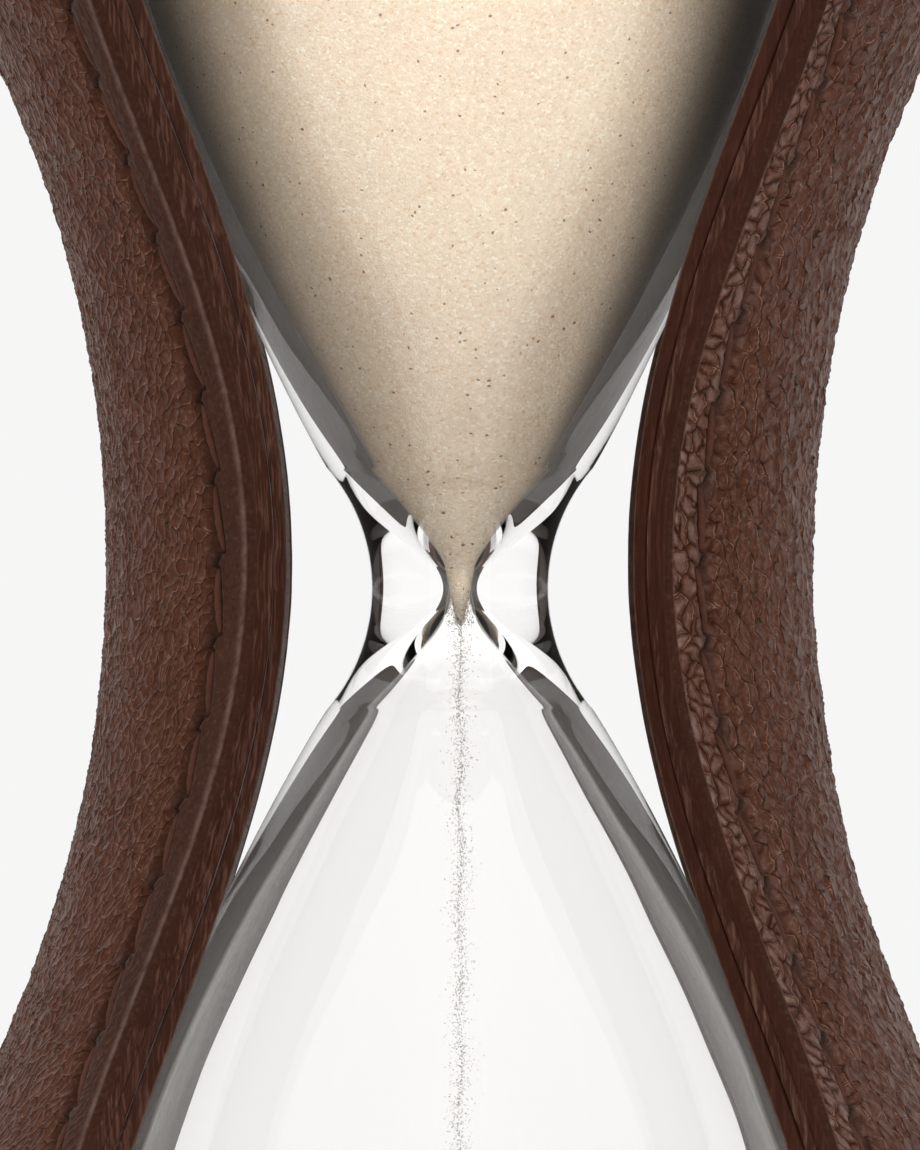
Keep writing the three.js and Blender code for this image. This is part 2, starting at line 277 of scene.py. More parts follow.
def turned(name: str, outline: Array, steps: int, relief: Relief | None = None) -> Piece:
    """Turns an outline round the vertical axis.

    The points carry along and across for the finishes, and flank: how far to the sides they face, where the
    sand's finish paints shade.

    Args:
        name: name of the piece.
        outline: N by 2 array of radius and height, on its way round the solid with the inside on
            its left; it starts and ends on the axis, or closes on itself.
        steps: facets round the axis.
        relief: optional function of radius, angle and height that gives how far a point moves out
            along the outline's normal.

    Returns:
        The object.
    """
    on_axis = outline[0, 0] == 0 and outline[-1, 0] == 0
    travel = np.concatenate([[0], np.cumsum(np.linalg.norm(np.diff(outline, axis=0), axis=1))])
    kept = slice(1, -1) if on_axis else slice(None)
    ring = outline[kept]
    angle = np.arange(steps) * 2 * math.pi / steps
    radius = np.repeat(ring[:, :1], steps, axis=1)
    height = np.repeat(ring[:, 1:], steps, axis=1)
    if relief is not None:
        before, after = np.roll(ring, 1, axis=0), np.roll(ring, -1, axis=0)
        if on_axis:
            before[0], after[-1] = outline[0], outline[-1]
        along = after - before
        normal = np.stack([along[:, 1], -along[:, 0]], axis=1)
        normal /= np.maximum(np.linalg.norm(normal, axis=1, keepdims=True), 1e-9)
        rise = relief(radius, np.broadcast_to(angle, radius.shape), height)
        radius, height = radius + rise * normal[:, :1], height + rise * normal[:, 1:]
    points = round_axis(radius, angle, height).reshape(-1, 3)
    faces = [grid_faces(len(ring), steps, True, not on_axis)]
    # flank marks the sides that face the leather panels, where the sand's finish paints shade.
    beside = smooth_step(*PANEL_SHADE_FACING, np.abs(np.sin(angle) + PANEL_SHADE_TURN))
    masks = {
        "along": np.repeat(travel[kept], steps),
        "across": np.tile(angle * outline[:, 0].max(), len(ring)),
        "flank": (smooth_step(*PANEL_SHADE_RADII, ring[:, :1]) * beside).reshape(-1),
    }
    if on_axis:
        first, last = len(points), len(points) + 1
        tips = np.array([[0, 0, outline[0, 1]], [0, 0, outline[-1, 1]]])
        points = np.vstack([points, tips])
        at_tips = {"along": travel[[0, -1]], "across": np.zeros(2), "flank": np.zeros(2)}
        masks = {key: np.concatenate([values, at_tips[key]]) for key, values in masks.items()}
        near, far = np.arange(steps), np.arange(steps) + (len(ring) - 1) * steps
        faces.append(np.stack([np.full(steps, first), np.roll(near, -1), near], axis=1))
        faces.append(np.stack([np.full(steps, last), far, np.roll(far, -1)], axis=1))
    return make_mesh(name, points, faces, masks)


def arc(centre: tuple[float, float], radius: float, start: float, stop: float, count: int) -> Array:
    """Points of a round stretch of an outline.

    Args:
        centre: radius and height of the arc's centre.
        radius: radius of the arc.
        start: first angle, in radians, from outwards to up.
        stop: last angle.
        count: number of points.

    Returns:
        count by 2 array.
    """
    t = np.linspace(start, stop, count)
    return np.stack([centre[0] + radius * np.cos(t), centre[1] + radius * np.sin(t)], axis=1)


def bezier(points: Sequence[Array], count: int) -> Array:
    """Points of a cubic curve without its first one.

    Args:
        points: the four control points.
        count: number of points.

    Returns:
        count by 2 array.
    """
    t = np.linspace(0, 1, count + 1)[1:, None]
    a, b, c, d = (np.asarray(p, float) for p in points)
    return (1 - t) ** 3 * a + 3 * t * (1 - t) ** 2 * b + 3 * t * t * (1 - t) * c + t**3 * d


GRAIN_SHAPE = np.array([[1, 0, 0], [-1, 0, 0], [0, 1, 0], [0, -1, 0], [0, 0, 1], [0, 0, -1]], float)
GRAIN_FACES = np.array([
    [0, 2, 4], [2, 1, 4], [1, 3, 4], [3, 0, 4], [2, 0, 5], [1, 2, 5], [3, 1, 5], [0, 3, 5],
])


def loose_grains(name: str, centres: Array, sizes: Array, rng: np.random.Generator) -> Piece:
    """Many small angular grains as one piece.

    Args:
        name: name of the piece.
        centres: N by 3 array.
        sizes: radius of each grain.
        rng: source of the grains' shapes and turns.

    Returns:
        The object.
    """
    count = len(centres)
    shape = GRAIN_SHAPE[None] * rng.uniform(0.65, 1.2, (count, len(GRAIN_SHAPE), 1))
    axes = np.linalg.qr(rng.normal(size=(count, 3, 3)))[0]
    points = np.einsum("nij,nkj->nki", axes, shape) * sizes[:, None, None] + centres[:, None]
    faces = GRAIN_FACES[None] + (np.arange(count) * len(GRAIN_SHAPE))[:, None, None]
    flip = np.linalg.det(axes) < 0
    faces[flip] = faces[flip][:, :, ::-1]
    return make_mesh(name, points.reshape(-1, 3), [faces.reshape(-1, 3)], smooth=False)


# ------------------------------------------------------------------ shader tools


class Tree:
    """Short calls for laying out one node tree."""

    def __init__(self, tree: NodeTree) -> None:
        """Takes the tree to fill.

        Args:
            tree: a material's, group's or world's node tree.
        """
        self.tree = tree

    def add(self, kind: str, inputs: dict | None = None, **settings: object) -> Node:
        """Adds a node.

        Args:
            kind: node type, without its prefix if that is ShaderNode.
            inputs: values or sockets by input name or number.
            settings: other properties of the node.

        Returns:
            The node.
        """
        made = self.tree.nodes.new(kind if kind.startswith("GeometryNode") else "ShaderNode" + kind)
        for key, value in settings.items():
            setattr(made, key, value)
        for key, value in (inputs or {}).items():
            socket = made.inputs[key]
            if isinstance(value, Socket):
                self.join(value, socket)
            elif socket.type == "RGBA":
                socket.default_value = (*value, 1.0)
            else:
                socket.default_value = value
        return made

    def join(self, source: Socket, target: Socket) -> None:
        """Links an output to an input."""
        self.tree.links.new(source, target)

    def maths(self, operation: str, a: object, b: object = 0.0, clamp: bool = False) -> Socket:
        """Adds a Math node.

        Args:
            operation: name of the operation.
            a: first value or socket.
            b: second value or socket.
            clamp: whether the result is kept from 0 to 1.

        Returns:
            Its output.
        """
        return self.add("Math", {0: a, 1: b}, operation=operation, use_clamp=clamp).outputs[0]

    def times(self, a: object, b: object) -> Socket:
        """Multiplies two values."""
        return self.maths("MULTIPLY", a, b)

    def plus(self, a: object, b: object) -> Socket:
        """Adds two values."""
        return self.maths("ADD", a, b)

    def minus(self, a: object, b: object) -> Socket:
        """Takes the second value from the first."""
        return self.maths("SUBTRACT", a, b)

    def vector(self, operation: str, a: object, b: object) -> Socket:
        """Adds a Vector Math node for two vectors and returns its vector."""
        return self.add("VectorMath", {0: a, 1: b}, operation=operation).outputs["Vector"]

    def scaled(self, a: object, scale: object) -> Socket:
        """Scales a vector."""
        return self.add("VectorMath", {0: a, "Scale": scale}, operation="SCALE").outputs["Vector"]

    def noise(self, place: object, scale: object, detail: float = 2.0) -> Socket:
        """Noise value at a place."""
        return self.add("TexNoise", {"Vector": place, "Scale": scale, "Detail": detail}).outputs[0]

    def noise_vector(self, place: object, scale: float, detail: float) -> Socket:
        """Three noise values at a place, as a colour."""
        return self.add("TexNoise", {"Vector": place, "Scale": scale, "Detail": detail}).outputs[1]

    def blend(self, share: object, a: object, b: object) -> Socket:
        """Mixes two colours.

        Args:
            share: how much of b, from 0 to 1.
            a: first colour or socket.
            b: second colour or socket.

        Returns:
            The mixed colour.
        """
        return self.add("Mix", {0: share, 6: a, 7: b}, data_type="RGBA").outputs[2]

    def ramp(self, value: Socket, stops: Sequence[tuple[float, Colour]], constant: bool = False) -> Socket:
        """Adds a colour ramp.

        Args:
            value: socket that runs along the ramp.
            stops: positions with their colours.
            constant: whether the colours change in steps.

        Returns:
            The ramp's colour.
        """
        node = self.add("ValToRGB", {0: value})
        band = node.color_ramp
        band.interpolation = "CONSTANT" if constant else "LINEAR"
        while len(band.elements) < len(stops):
            band.elements.new(1.0)
        for element, (place, colour) in zip(band.elements, stops):
            element.position, element.color = place, (*colour, 1.0)
        return node.outputs[0]

    def spread(self, value: object, low: float, high: float, to_low: float, to_high: float) -> Socket:
        """Maps one range of values to another, clamped.

        Args:
            value: socket to map.
            low: start of the range.
            high: end of the range.
            to_low: result at the start.
            to_high: result at the end.

        Returns:
            The mapped value.
        """
        inputs = {0: value, 1: low, 2: high, 3: to_low, 4: to_high}
        return self.add("MapRange", inputs).outputs[0]


class TreeKind(Enum):
    """Where a node group is used: in finishes, or on the points of a mesh."""

    SHADER = "ShaderNodeTree"
    POINTS = "GeometryNodeTree"


def new_group(name: str, inputs: dict[str, object], outputs: Sequence[tuple[str, str]],
              kind: TreeKind = TreeKind.SHADER) -> tuple[Tree, dict, Node]:
    """Starts a node group.

    Args:
        name: name of the group.
        inputs: default of each input; a number, a colour of four numbers, or None for a vector.
        outputs: name and socket type of each output.
        kind: where the group is used.

    Returns:
        The tree, its input sockets by name, and its output node.
    """
    group = bpy.data.node_groups.new(name, kind.value)
    for key, default in inputs.items():
        form = "Vector" if default is None else "Color" if isinstance(default, tuple) else "Float"
        socket = group.interface.new_socket(name=key, in_out="INPUT", socket_type="NodeSocket" + form)
        if default is not None:
            socket.default_value = default
    for key, form in outputs:
        group.interface.new_socket(name=key, in_out="OUTPUT", socket_type="NodeSocket" + form)
    source = group.nodes.new("NodeGroupInput")
    target = group.nodes.new("NodeGroupOutput")
    return Tree(group), {s.name: s for s in source.outputs if s.name}, target


class Effects:
    """The node groups that several finishes share, each built once."""

    def __init__(self) -> None:
        """Builds the groups."""
        self.tone = self._tone()
        self.web = self._web("hide_web", TreeKind.SHADER)
        self.web_on_points = self._web("hide_web_on_points", TreeKind.POINTS)
        self.wear_and_sheen = self._wear_and_sheen()

    @staticmethod
    def _web(name: str, kind: TreeKind) -> NodeTree:
        """Broken web of creases between tilted pebbles. Height is their relief; Crease is painted shade on
        their low side and Glint a painted highlight along their crests.

        Args:
            name: name of the group.
            kind: whether finishes use it or mesh points do; both give the same pebbles.

        Returns:
            The group.
        """
        inputs = {"Place": None, "Width": 1.1, "Length": 1.6, "Slant": 0.4, "Evenness": 0.0}
        outputs = [("Height", "Float"), ("Crease", "Float"), ("Glint", "Float")]
        t, i, out = new_group(name, inputs, outputs, kind)
        stir = t.vector("SUBTRACT", t.noise_vector(i["Place"], 0.3, 3.0), (0.5, 0.5, 0.5))
        bent = t.vector("ADD", i["Place"], t.scaled(stir, 2.6))
        turn = t.add("VectorRotate", {0: bent, "Angle": i["Slant"]}, rotation_type="Z_AXIS").outputs[0]
        size = t.add("CombineXYZ", {0: i["Width"], 1: i["Length"], 2: 1.0}).outputs[0]
        cell = t.vector("DIVIDE", turn, size)
        where = {"Vector": cell, "Scale": 1.0}
        pebble = t.add("TexVoronoi", where, voronoi_dimensions="2D").outputs["Position"]
        rim = t.add("TexVoronoi", where, voronoi_dimensions="2D", feature="DISTANCE_TO_EDGE").outputs[0]
        off = t.vector("SUBTRACT", cell, pebble)
        lean = t.add("VectorMath", {0: off, 1: (0.92, -0.4, 0.0)}, operation="DOT_PRODUCT").outputs["Value"]
        low = t.maths("MAXIMUM", t.spread(lean, -0.4, -0.14, 1.0, 0.0), i["Evenness"])
        patch = t.noise(i["Place"], 1.0, 2.0)
        deep = t.spread(patch, 0.32, 0.56, 0.25, 1.0)
        pale = t.spread(patch, 0.4, 0.6, 1.0, 0.0)
        line = t.spread(rim, 0.0, 0.13, 1.0, 0.0)
        # Crease: painted shade, dark only on each pebble's low side.
        crease = t.times(t.times(line, low), deep)
        band = t.times(t.spread(rim, 0.03, 0.06, 0.0, 1.0), t.spread(rim, 0.07, 0.11, 1.0, 0.0))
        # Glint: painted highlight along the crests on each pebble's high side.
        glint = t.times(t.times(band, t.spread(lean, 0.12, 0.38, 0.0, 1.0)), pale)
        dome = t.times(t.spread(rim, 0.0, 0.3, 0.0, 1.0), 0.45)
        tilt = t.times(lean, t.minus(0.5, t.times(i["Evenness"], 0.4)))
        fuzz = t.noise(i["Place"], 6.0, 3.0)
        height = t.minus(t.plus(t.plus(dome, tilt), t.times(fuzz, 0.2)), t.times(crease, 0.5))
        for key, value in {"Height": height, "Crease": crease, "Glint": glint}.items():
            t.join(value, out.inputs[key])
        return t.tree

    @staticmethod
    def _tone() -> NodeTree:
        """Slow drift of a colour, in two sizes."""
        inputs = {"Color": (0.5, 0.5, 0.5, 1.0), "Place": None, "Amount": 0.3, "Patch": 12.0}
        t, i, out = new_group("tone_drift", inputs, [("Color", "Color")])
        scale = t.maths("DIVIDE", 1.0, i["Patch"])
        broad = t.noise(i["Place"], scale, 3.0)
        small_scale = t.times(scale, 7.0)
        small = t.noise(i["Place"], small_scale, 2.0)
        both = t.plus(t.times(broad, 0.65), t.times(small, 0.35))
        swing = t.times(t.minus(both, 0.5), t.times(i["Amount"], 4.0))
        value = t.plus(1.0, swing)
        shifted = t.add("HueSaturation", {"Color": i["Color"], "Value": value}).outputs[0]
        t.join(shifted, out.inputs["Color"])
        return t.tree

    @staticmethod
    def _wear_and_sheen() -> NodeTree:
        """Paler colour where the mask is high, broken up by noise: rubbed wear at the edges and painted
        sheen and highlight on crests and domes.
        """
        inputs = {"Color": (0.5, 0.5, 0.5, 1.0), "Worn": (0.7, 0.7, 0.7, 1.0), "Mask": 0.0, "Place": None}
        t, i, out = new_group("rubbed_edges_and_sheen", inputs, [("Color", "Color"), ("Mask", "Float")])
        noise = t.noise(i["Place"], 1.2, 2.0)
        patchy = t.spread(noise, 0.3, 0.6, 0.35, 1.0)
        share = t.maths("MULTIPLY", i["Mask"], patchy, clamp=True)
        t.join(t.blend(share, i["Color"], i["Worn"]), out.inputs["Color"])
        t.join(share, out.inputs["Mask"])
        return t.tree


EFFECTS = Effects()


@dataclass(frozen=True)
class Pebbles:
    """Size, slant and evenness of a hide's pebbles, and how far the mesh sinks between them."""

    width: float
    length: float
    slant: float = 0.4
    evenness: float = 0.0
    depth: float = 0.16
    crest_level: float = 0.8

    def inputs(self) -> dict[str, float]:
        """The values as the web groups take them."""
        return {"Width": self.width, "Length": self.length, "Slant": self.slant, "Evenness": self.evenness}

    def emboss(self, piece: Piece) -> None:
        """Sinks the piece's points between the same pebbles that its finish draws.

        Args:
            piece: object whose points carry across, along, and how much of the relief they take.
        """
        t, _, out = new_group("emboss", {}, [("Geometry", "Geometry")], TreeKind.POINTS)
        t.tree.interface.new_socket(name="Geometry", in_out="INPUT", socket_type="NodeSocketGeometry")
        source = next(n for n in t.tree.nodes if n.bl_idname == "NodeGroupInput")

        def read(name: str) -> Socket:
            """Reads a value that the mesh carries."""
            return t.add("GeometryNodeInputNamedAttribute", {"Name": name}).outputs["Attribute"]

        place = t.add("CombineXYZ", {0: read("across"), 1: read("along")}).outputs[0]
        web = t.add("GeometryNodeGroup", {"Place": place, **self.inputs()}, node_tree=EFFECTS.web_on_points)
        t.join(t.maths("MAXIMUM", read("net"), self.evenness), web.inputs["Evenness"])
        sink = t.maths("MINIMUM", t.minus(web.outputs["Height"], self.crest_level), 0.0)
        share = t.times(read("relief"), self.depth * MM)
        normal = t.add("GeometryNodeInputNormal").outputs[0]
        offset = t.scaled(normal, t.times(sink, share))
        moved = t.add("GeometryNodeSetPosition", {"Geometry": source.outputs[0], "Offset": offset})
        t.join(moved.outputs[0], out.inputs[0])
        piece.modifiers.new("pebbles", "NODES").node_group = t.tree
        ready = piece.evaluated_get(bpy.context.evaluated_depsgraph_get())
        plain = piece.data
        piece.data = bpy.data.meshes.new_from_object(ready)
        piece.modifiers.clear()
        bpy.data.meshes.remove(plain)


class Finish:
    """A material in the making, with the calls that every finish uses."""

    def __init__(self, name: str) -> None:
        """Starts the material.

        Args:
            name: name of the material.
        """
        self.material = bpy.data.materials.new(name)
        self.material.use_nodes = True
        self.material.node_tree.nodes.clear()
        self.tree = Tree(self.material.node_tree)
        self.place = self.tree.scaled(self.tree.add("TexCoord").outputs["Object"], 1 / MM)

    def use(self, group: NodeTree, inputs: dict | None = None) -> Node:
        """Places a shared group.

        Args:
            group: the node group.
            inputs: its values or sockets.

        Returns:
            The group node.
        """
        return self.tree.add("Group", inputs, node_tree=group)

    def drift(self, colour: object, amount: float, patch: float) -> Socket:
        """Gives a colour its slow drift.

        Args:
            colour: the colour or its socket.
            amount: strength of the drift.
            patch: size of its patches in millimetres.

        Returns:
            The drifting colour.
        """
        inputs = {"Color": colour, "Place": self.place, "Amount": amount, "Patch": patch}
        return self.use(EFFECTS.tone, inputs).outputs[0]

    def mask(self, name: str) -> Socket:
        """Reads a value that the mesh carries at its points."""
        return self.tree.add("Attribute", attribute_name=name).outputs["Fac"]

    def sheet(self) -> Socket:
        """Millimetres across and along a cut sheet, which its mesh carries at its points."""
        return self.tree.add("CombineXYZ", {0: self.mask("across"), 1: self.mask("along")}).outputs[0]

    def surface(self, inputs: dict, height: Socket | None = None, depth: float = 0.1) -> Node:
        """Adds the Principled BSDF, with relief if a height is given.

        Args:
            inputs: its values or sockets.
            height: relief from 0 to 1.
            depth: height of the relief in millimetres.

        Returns:
            The shader node.
        """
        shader = self.tree.add("BsdfPrincipled", inputs)
        if height is not None:
            bump = self.tree.add("Bump", {"Height": height, "Distance": depth * MM, "Strength": 1.0})
            self.tree.join(bump.outputs[0], shader.inputs["Normal"])
        return shader

    def close(self, shader: Node) -> Material:
        """Joins the shader to the output and returns the material."""
        self.tree.add("OutputMaterial", {"Surface": shader.outputs[0]})
        return self.material

    def finish(self, inputs: dict, height: Socket | None = None, depth: float = 0.1) -> Material:
        """Closes the material with one Principled BSDF; takes what surface takes."""
        return self.close(self.surface(inputs, height, depth))


FINE_PEBBLES = Pebbles(0.66, 1.3, depth=0.1)
ROUND_PEBBLES = Pebbles(1.0, 1.25, slant=-0.6, evenness=0.12, depth=0.12)
CAP_PEBBLES = Pebbles(1.2, 1.4, evenness=0.6, depth=0.14)
LINING_PEBBLES = Pebbles(1.0, 1.3, depth=0.0)


# ------------------------------------------------------------------ finishes


@dataclass(frozen=True)
class LeatherFinish:
    """Dyed cowhide: tilted pebbles and a dry gloss, with painted shade in the creases, on the smooth margin
    and in the stitch holes, and painted highlights and sheen on the crests and domes mixed with rubbed wear.
    """

    name: str
    base: Colour
    crease: Colour
    crest: Colour
    pebbles: Pebbles
    worn: Colour = (0.2, 0.13, 0.11)
    roughness: tuple[float, float] = (0.34, 0.48)
    depth: float = 0.15
    gloss: float = 0.13
    calm_shade: float = 0.62
    cut_sheet: bool = True

    def build(self) -> Material:
        """Lays out the material and returns it."""
        f = Finish(self.name)
        t = f.tree
        place = f.sheet() if self.cut_sheet else f.place
        web = f.use(EFFECTS.web, {"Place": place, **self.pebbles.inputs()})
        even = t.maths("MAXIMUM", f.mask("net"), self.pebbles.evenness)
        t.join(even, web.inputs["Evenness"])
        plain = t.minus(1.0, f.mask("smooth"))
        base = f.drift(self.base, 0.14, 9.0)
        # Painted shade: the web's creases and the mesh's creases darken the colour towards the crease
        # colour.
        line = t.times(web.outputs["Crease"], plain)
        fold = t.maths("MAXIMUM", t.times(f.mask("crease"), 0.3), line)
        # Painted shade: the smooth margin is darkened towards the crease colour.
        shade = t.times(f.mask("smooth"), self.calm_shade)
        calm = t.blend(shade, base, self.crease)
        fleck = t.noise(f.place, 3.2, 4.0)
        mottled = t.blend(t.spread(fleck, 0.3, 0.5, 0.35, 0.0), calm, self.crease)
        pale = t.times(t.spread(fleck, 0.54, 0.74, 0.0, 0.34), t.spread(plain, 0.0, 1.0, 0.25, 1.0))
        mottled = t.blend(pale, mottled, self.crest)
        dark = t.blend(fold, mottled, self.crease)
        # Painted highlight: the web's glints lighten the crests towards the crest colour.
        glint = t.times(web.outputs["Glint"], plain)
        lit = t.blend(t.times(glint, 0.85), dark, self.crest)
        # Lighter domes, rims and margins: painted sheen and highlight on the domes, with rubbed wear at the
        # edges.
        domes = t.maths("MAXIMUM", t.spread(web.outputs["Height"], 0.3, 0.62, 0.0, 1.0), f.mask("smooth"))
        rubbed = t.times(f.mask("wear_and_sheen"), domes)
        worn = f.use(EFFECTS.wear_and_sheen, {"Color": lit, "Worn": self.worn, "Mask": rubbed, "Place": f.place})
        # Painted shade in the stitch holes and along the slots, near black.
        pit_shade = t.blend(f.mask("pit_shade"), worn.outputs["Color"], (0.004, 0.002, 0.002))
        noise = t.noise(f.place, 1.6, 3.0)
        rough = t.spread(noise, 0.3, 0.7, *self.roughness)
        rough = t.plus(rough, t.times(fold, 0.25))
        level = t.times(web.outputs["Height"], t.spread(f.mask("net"), 0.0, 1.0, 1.0, 0.6))
        height = t.times(level, t.spread(f.mask("smooth"), 0.0, 1.0, 1.0, 0.18))
        values = {"Base Color": pit_shade, "Roughness": rough, "IOR": 1.45, "Specular IOR Level": self.gloss,
                  "Specular Tint": (1.0, 0.82, 0.7)}
        return f.finish(values, height, self.depth)


@dataclass(frozen=True)
class CutEdgeFinish:
    """A ply's burnished cut edge: streaks along the edge over fibrous, stained leather."""

    name: str
    base: Colour
    streak: Colour
    depth: float = 0.05

    def build(self) -> Material:
        """Lays out the material and returns it."""
        f = Finish(self.name)
        t = f.tree
        wander = t.noise_vector(f.place, 0.25, 2.0)
        loose = t.add("VectorMath", {0: f.place, 1: wander}, operation="ADD").outputs[0]
        long_grain = t.add("Mapping", {"Vector": loose, "Scale": (2.4, 2.4, 0.09)}).outputs[0]
        grain = {"Vector": long_grain, "Scale": 1.3, "Detail": 6.0, "Roughness": 0.62}
        fibre = t.add("TexNoise", grain).outputs[0]
        base = f.drift(self.base, 0.2, 6.0)
        streak = t.spread(fibre, 0.48, 0.76, 0.0, 0.9)
        colour = t.blend(streak, base, self.streak)
        # Lighter where the mesh's wear mask is high: rubbed wear and painted highlight at the cut-edge
        # corners.
        worn = f.use(EFFECTS.wear_and_sheen, {"Color": colour, "Worn": (0.17, 0.1, 0.075), "Mask": f.mask("wear_and_sheen"),
                                    "Place": f.place})
        fuzz = t.noise(f.place, 7.0, 4.0)
        height = t.plus(t.times(fibre, 0.8), t.times(fuzz, 0.35))
        values = {"Base Color": worn.outputs["Color"], "Roughness": t.spread(fibre, 0.3, 0.7, 0.45, 0.75),
                  "Specular IOR Level": 0.08}
        return f.finish(values, height, self.depth)


@dataclass(frozen=True)
class ThreadFinish:
    """Waxed linen thread with fine fibres."""

    name: str
    base: Colour

    def build(self) -> Material:
        """Lays out the material and returns it."""
        f = Finish(self.name)
        t = f.tree
        base = f.drift(self.base, 0.35, 4.0)
        fibre = t.noise(f.place, 8.0, 5.0)
        # Painted shade: the thread's ends darken where they dive into the holes.
        dark = t.blend(f.mask("pit_shade"), base, (0.006, 0.003, 0.002))
        values = {"Base Color": dark, "Roughness": t.spread(fibre, 0.3, 0.7, 0.5, 0.75),
                  "Specular IOR Level": 0.15}
        return f.finish(values, fibre, 0.06)


@dataclass(frozen=True)
class GlassFinish:
    """Clear blown glass. Light sources shine straight through it, so that what it holds is lit."""

    name: str = "blown_glass"
    ior: float = 1.48

    def build(self) -> Material:
        """Lays out the material and returns it."""
        f = Finish(self.name)
        t = f.tree
        ripple = t.noise(f.place, 0.09, 1.0)
        values = {"Base Color": (1.0, 0.994, 0.986), "Roughness": 0.0, "IOR": self.ior,
                  "Transmission Weight": 1.0}
        glass = f.surface(values, ripple, 0.07)
        clear = t.add("BsdfTransparent", {"Color": (0.96, 0.965, 0.96)})
        shadow = t.add("LightPath").outputs["Is Shadow Ray"]
        return f.close(t.add("MixShader", {0: shadow, 1: glass.outputs[0], 2: clear.outputs[0]}))


class SandKind(Enum):
    """How sand shows: packed in a bulb, or as single grains."""

    PACKED = "packed_sand"
    LOOSE = "loose_sand"
    FALLING = "falling_sand_dust"


@dataclass(frozen=True)
class SandFinish:
    """Fine washed sand: cream grains, a few orange and brown ones, and rare black ones."""

    kind: SandKind
    grain: float = 0.16

    def build(self) -> Material:
        """Lays out the material and returns it."""
        f = Finish(self.kind.value)
        t = f.tree
        if self.kind is SandKind.PACKED:
            cells = t.add("TexVoronoi", {"Vector": f.place, "Scale": 1 / self.grain})
            pick = t.add("SeparateColor", {0: cells.outputs["Color"]}).outputs[0]
            height = t.spread(cells.outputs["Distance"], 0.0, 0.8, 1.0, 0.0)
            # Painted shade: the sides that face the leather panels darken towards near black, in place of
            # the panels' real shade.
            shade = t.spread(f.mask("flank"), 0.0, 1.0, 0.0, 0.9)
        else:
            pick = t.add("NewGeometry").outputs["Random Per Island"]
            height = t.noise(f.place, 20.0)
            shade = 0.0
        stops = [(0.0, (0.3, 0.16, 0.08)), (0.0007, (0.62, 0.38, 0.2)), (0.003, (0.78, 0.57, 0.36)),
                 (0.04, (0.82, 0.66, 0.48)), (0.3, (0.87, 0.71, 0.54)), (0.65, (0.9, 0.76, 0.59)),
                 (0.92, (0.95, 0.86, 0.72))]
        # Painted shade: falling grains take greyer colours than the packed sand, for the darker look of the
        # thin stream against the bright backdrop.
        if self.kind is SandKind.FALLING:
            stops = [(0.0, (0.44, 0.4, 0.355)), (0.3, (0.56, 0.52, 0.465)), (0.7, (0.68, 0.63, 0.57))]
            height = None
        colour = t.ramp(pick, stops, constant=True)
        drift = f.drift(colour, 0.05, 5.0)
        shaded = t.blend(shade, drift, (0.03, 0.018, 0.012))
        values = {"Base Color": shaded, "Roughness": 0.72, "Specular IOR Level": 0.3}
        return f.finish(values, height, 0.045)


@dataclass(frozen=True)
class SpeckFinish:
    """The darker grains that stand out in the sand."""

    name: str = "dark_grains"

    def build(self) -> Material:
        """Lays out the material and returns it."""
        f = Finish(self.name)
        t = f.tree
        pick = t.add("NewGeometry").outputs["Random Per Island"]
        stops = [(0.0, (0.035, 0.022, 0.018)), (0.3, (0.16, 0.07, 0.035)), (0.5, (0.3, 0.12, 0.06)),
                 (0.7, (0.5, 0.27, 0.1)), (0.88, (0.32, 0.05, 0.03))]
        colour = t.ramp(pick, stops, constant=True)
        drift = f.drift(colour, 0.2, 1.0)
        return f.finish({"Base Color": drift, "Roughness": 0.5})


@dataclass(frozen=True)
class WoodFinish:
    """Turned beech: rings, short dark rays and a dry face."""

    name: str = "turned_beech"

    def build(self) -> Material:
        """Lays out the material and returns it."""
        f = Finish(self.name)
        t = f.tree
        turned_face = {"Vector": f.place, "Scale": 0.12, "Distortion": 5.0, "Detail": 3.0}
        rings = t.add("TexWave", turned_face).outputs[1]
        colour = t.ramp(rings, [(0.0, (0.42, 0.25, 0.13)), (1.0, (0.6, 0.4, 0.24))])
        rays = t.add("Mapping", {"Vector": f.place, "Scale": (4.0, 0.5, 4.0)}).outputs[0]
        fleck = t.noise(rays, 1.0, 3.0)
        drift = f.drift(colour, 0.12, 10.0)
        flecked = t.blend(t.spread(fleck, 0.6, 0.75, 0.0, 0.5), drift, (0.27, 0.14, 0.07))
        return f.finish({"Base Color": flecked, "Roughness": 0.6}, fleck, 0.04)


@dataclass(frozen=True)
class CorkFinish:
    """Pressed cork: granules of several browns with dark joints."""

    name: str = "pressed_cork"

    def build(self) -> Material:
        """Lays out the material and returns it."""
        f = Finish(self.name)
        t = f.tree
        granules = {"Vector": f.place, "Scale": 0.9}
        cells = t.add("TexVoronoi", granules)
        pick = t.add("SeparateColor", {0: cells.outputs["Color"]}).outputs[1]
        browns = [(0.0, (0.3, 0.17, 0.08)), (0.5, (0.48, 0.3, 0.16)), (1.0, (0.62, 0.43, 0.26))]
        colour = t.ramp(pick, browns)
        joint = t.add("TexVoronoi", granules, feature="DISTANCE_TO_EDGE").outputs[0]
        dark = t.blend(t.spread(joint, 0.0, 0.08, 0.7, 0.0), colour, (0.12, 0.06, 0.03))
        drift = f.drift(dark, 0.15, 6.0)
        height = t.spread(joint, 0.0, 0.2, 0.0, 1.0)
        return f.finish({"Base Color": drift, "Roughness": 0.85}, height, 0.08)


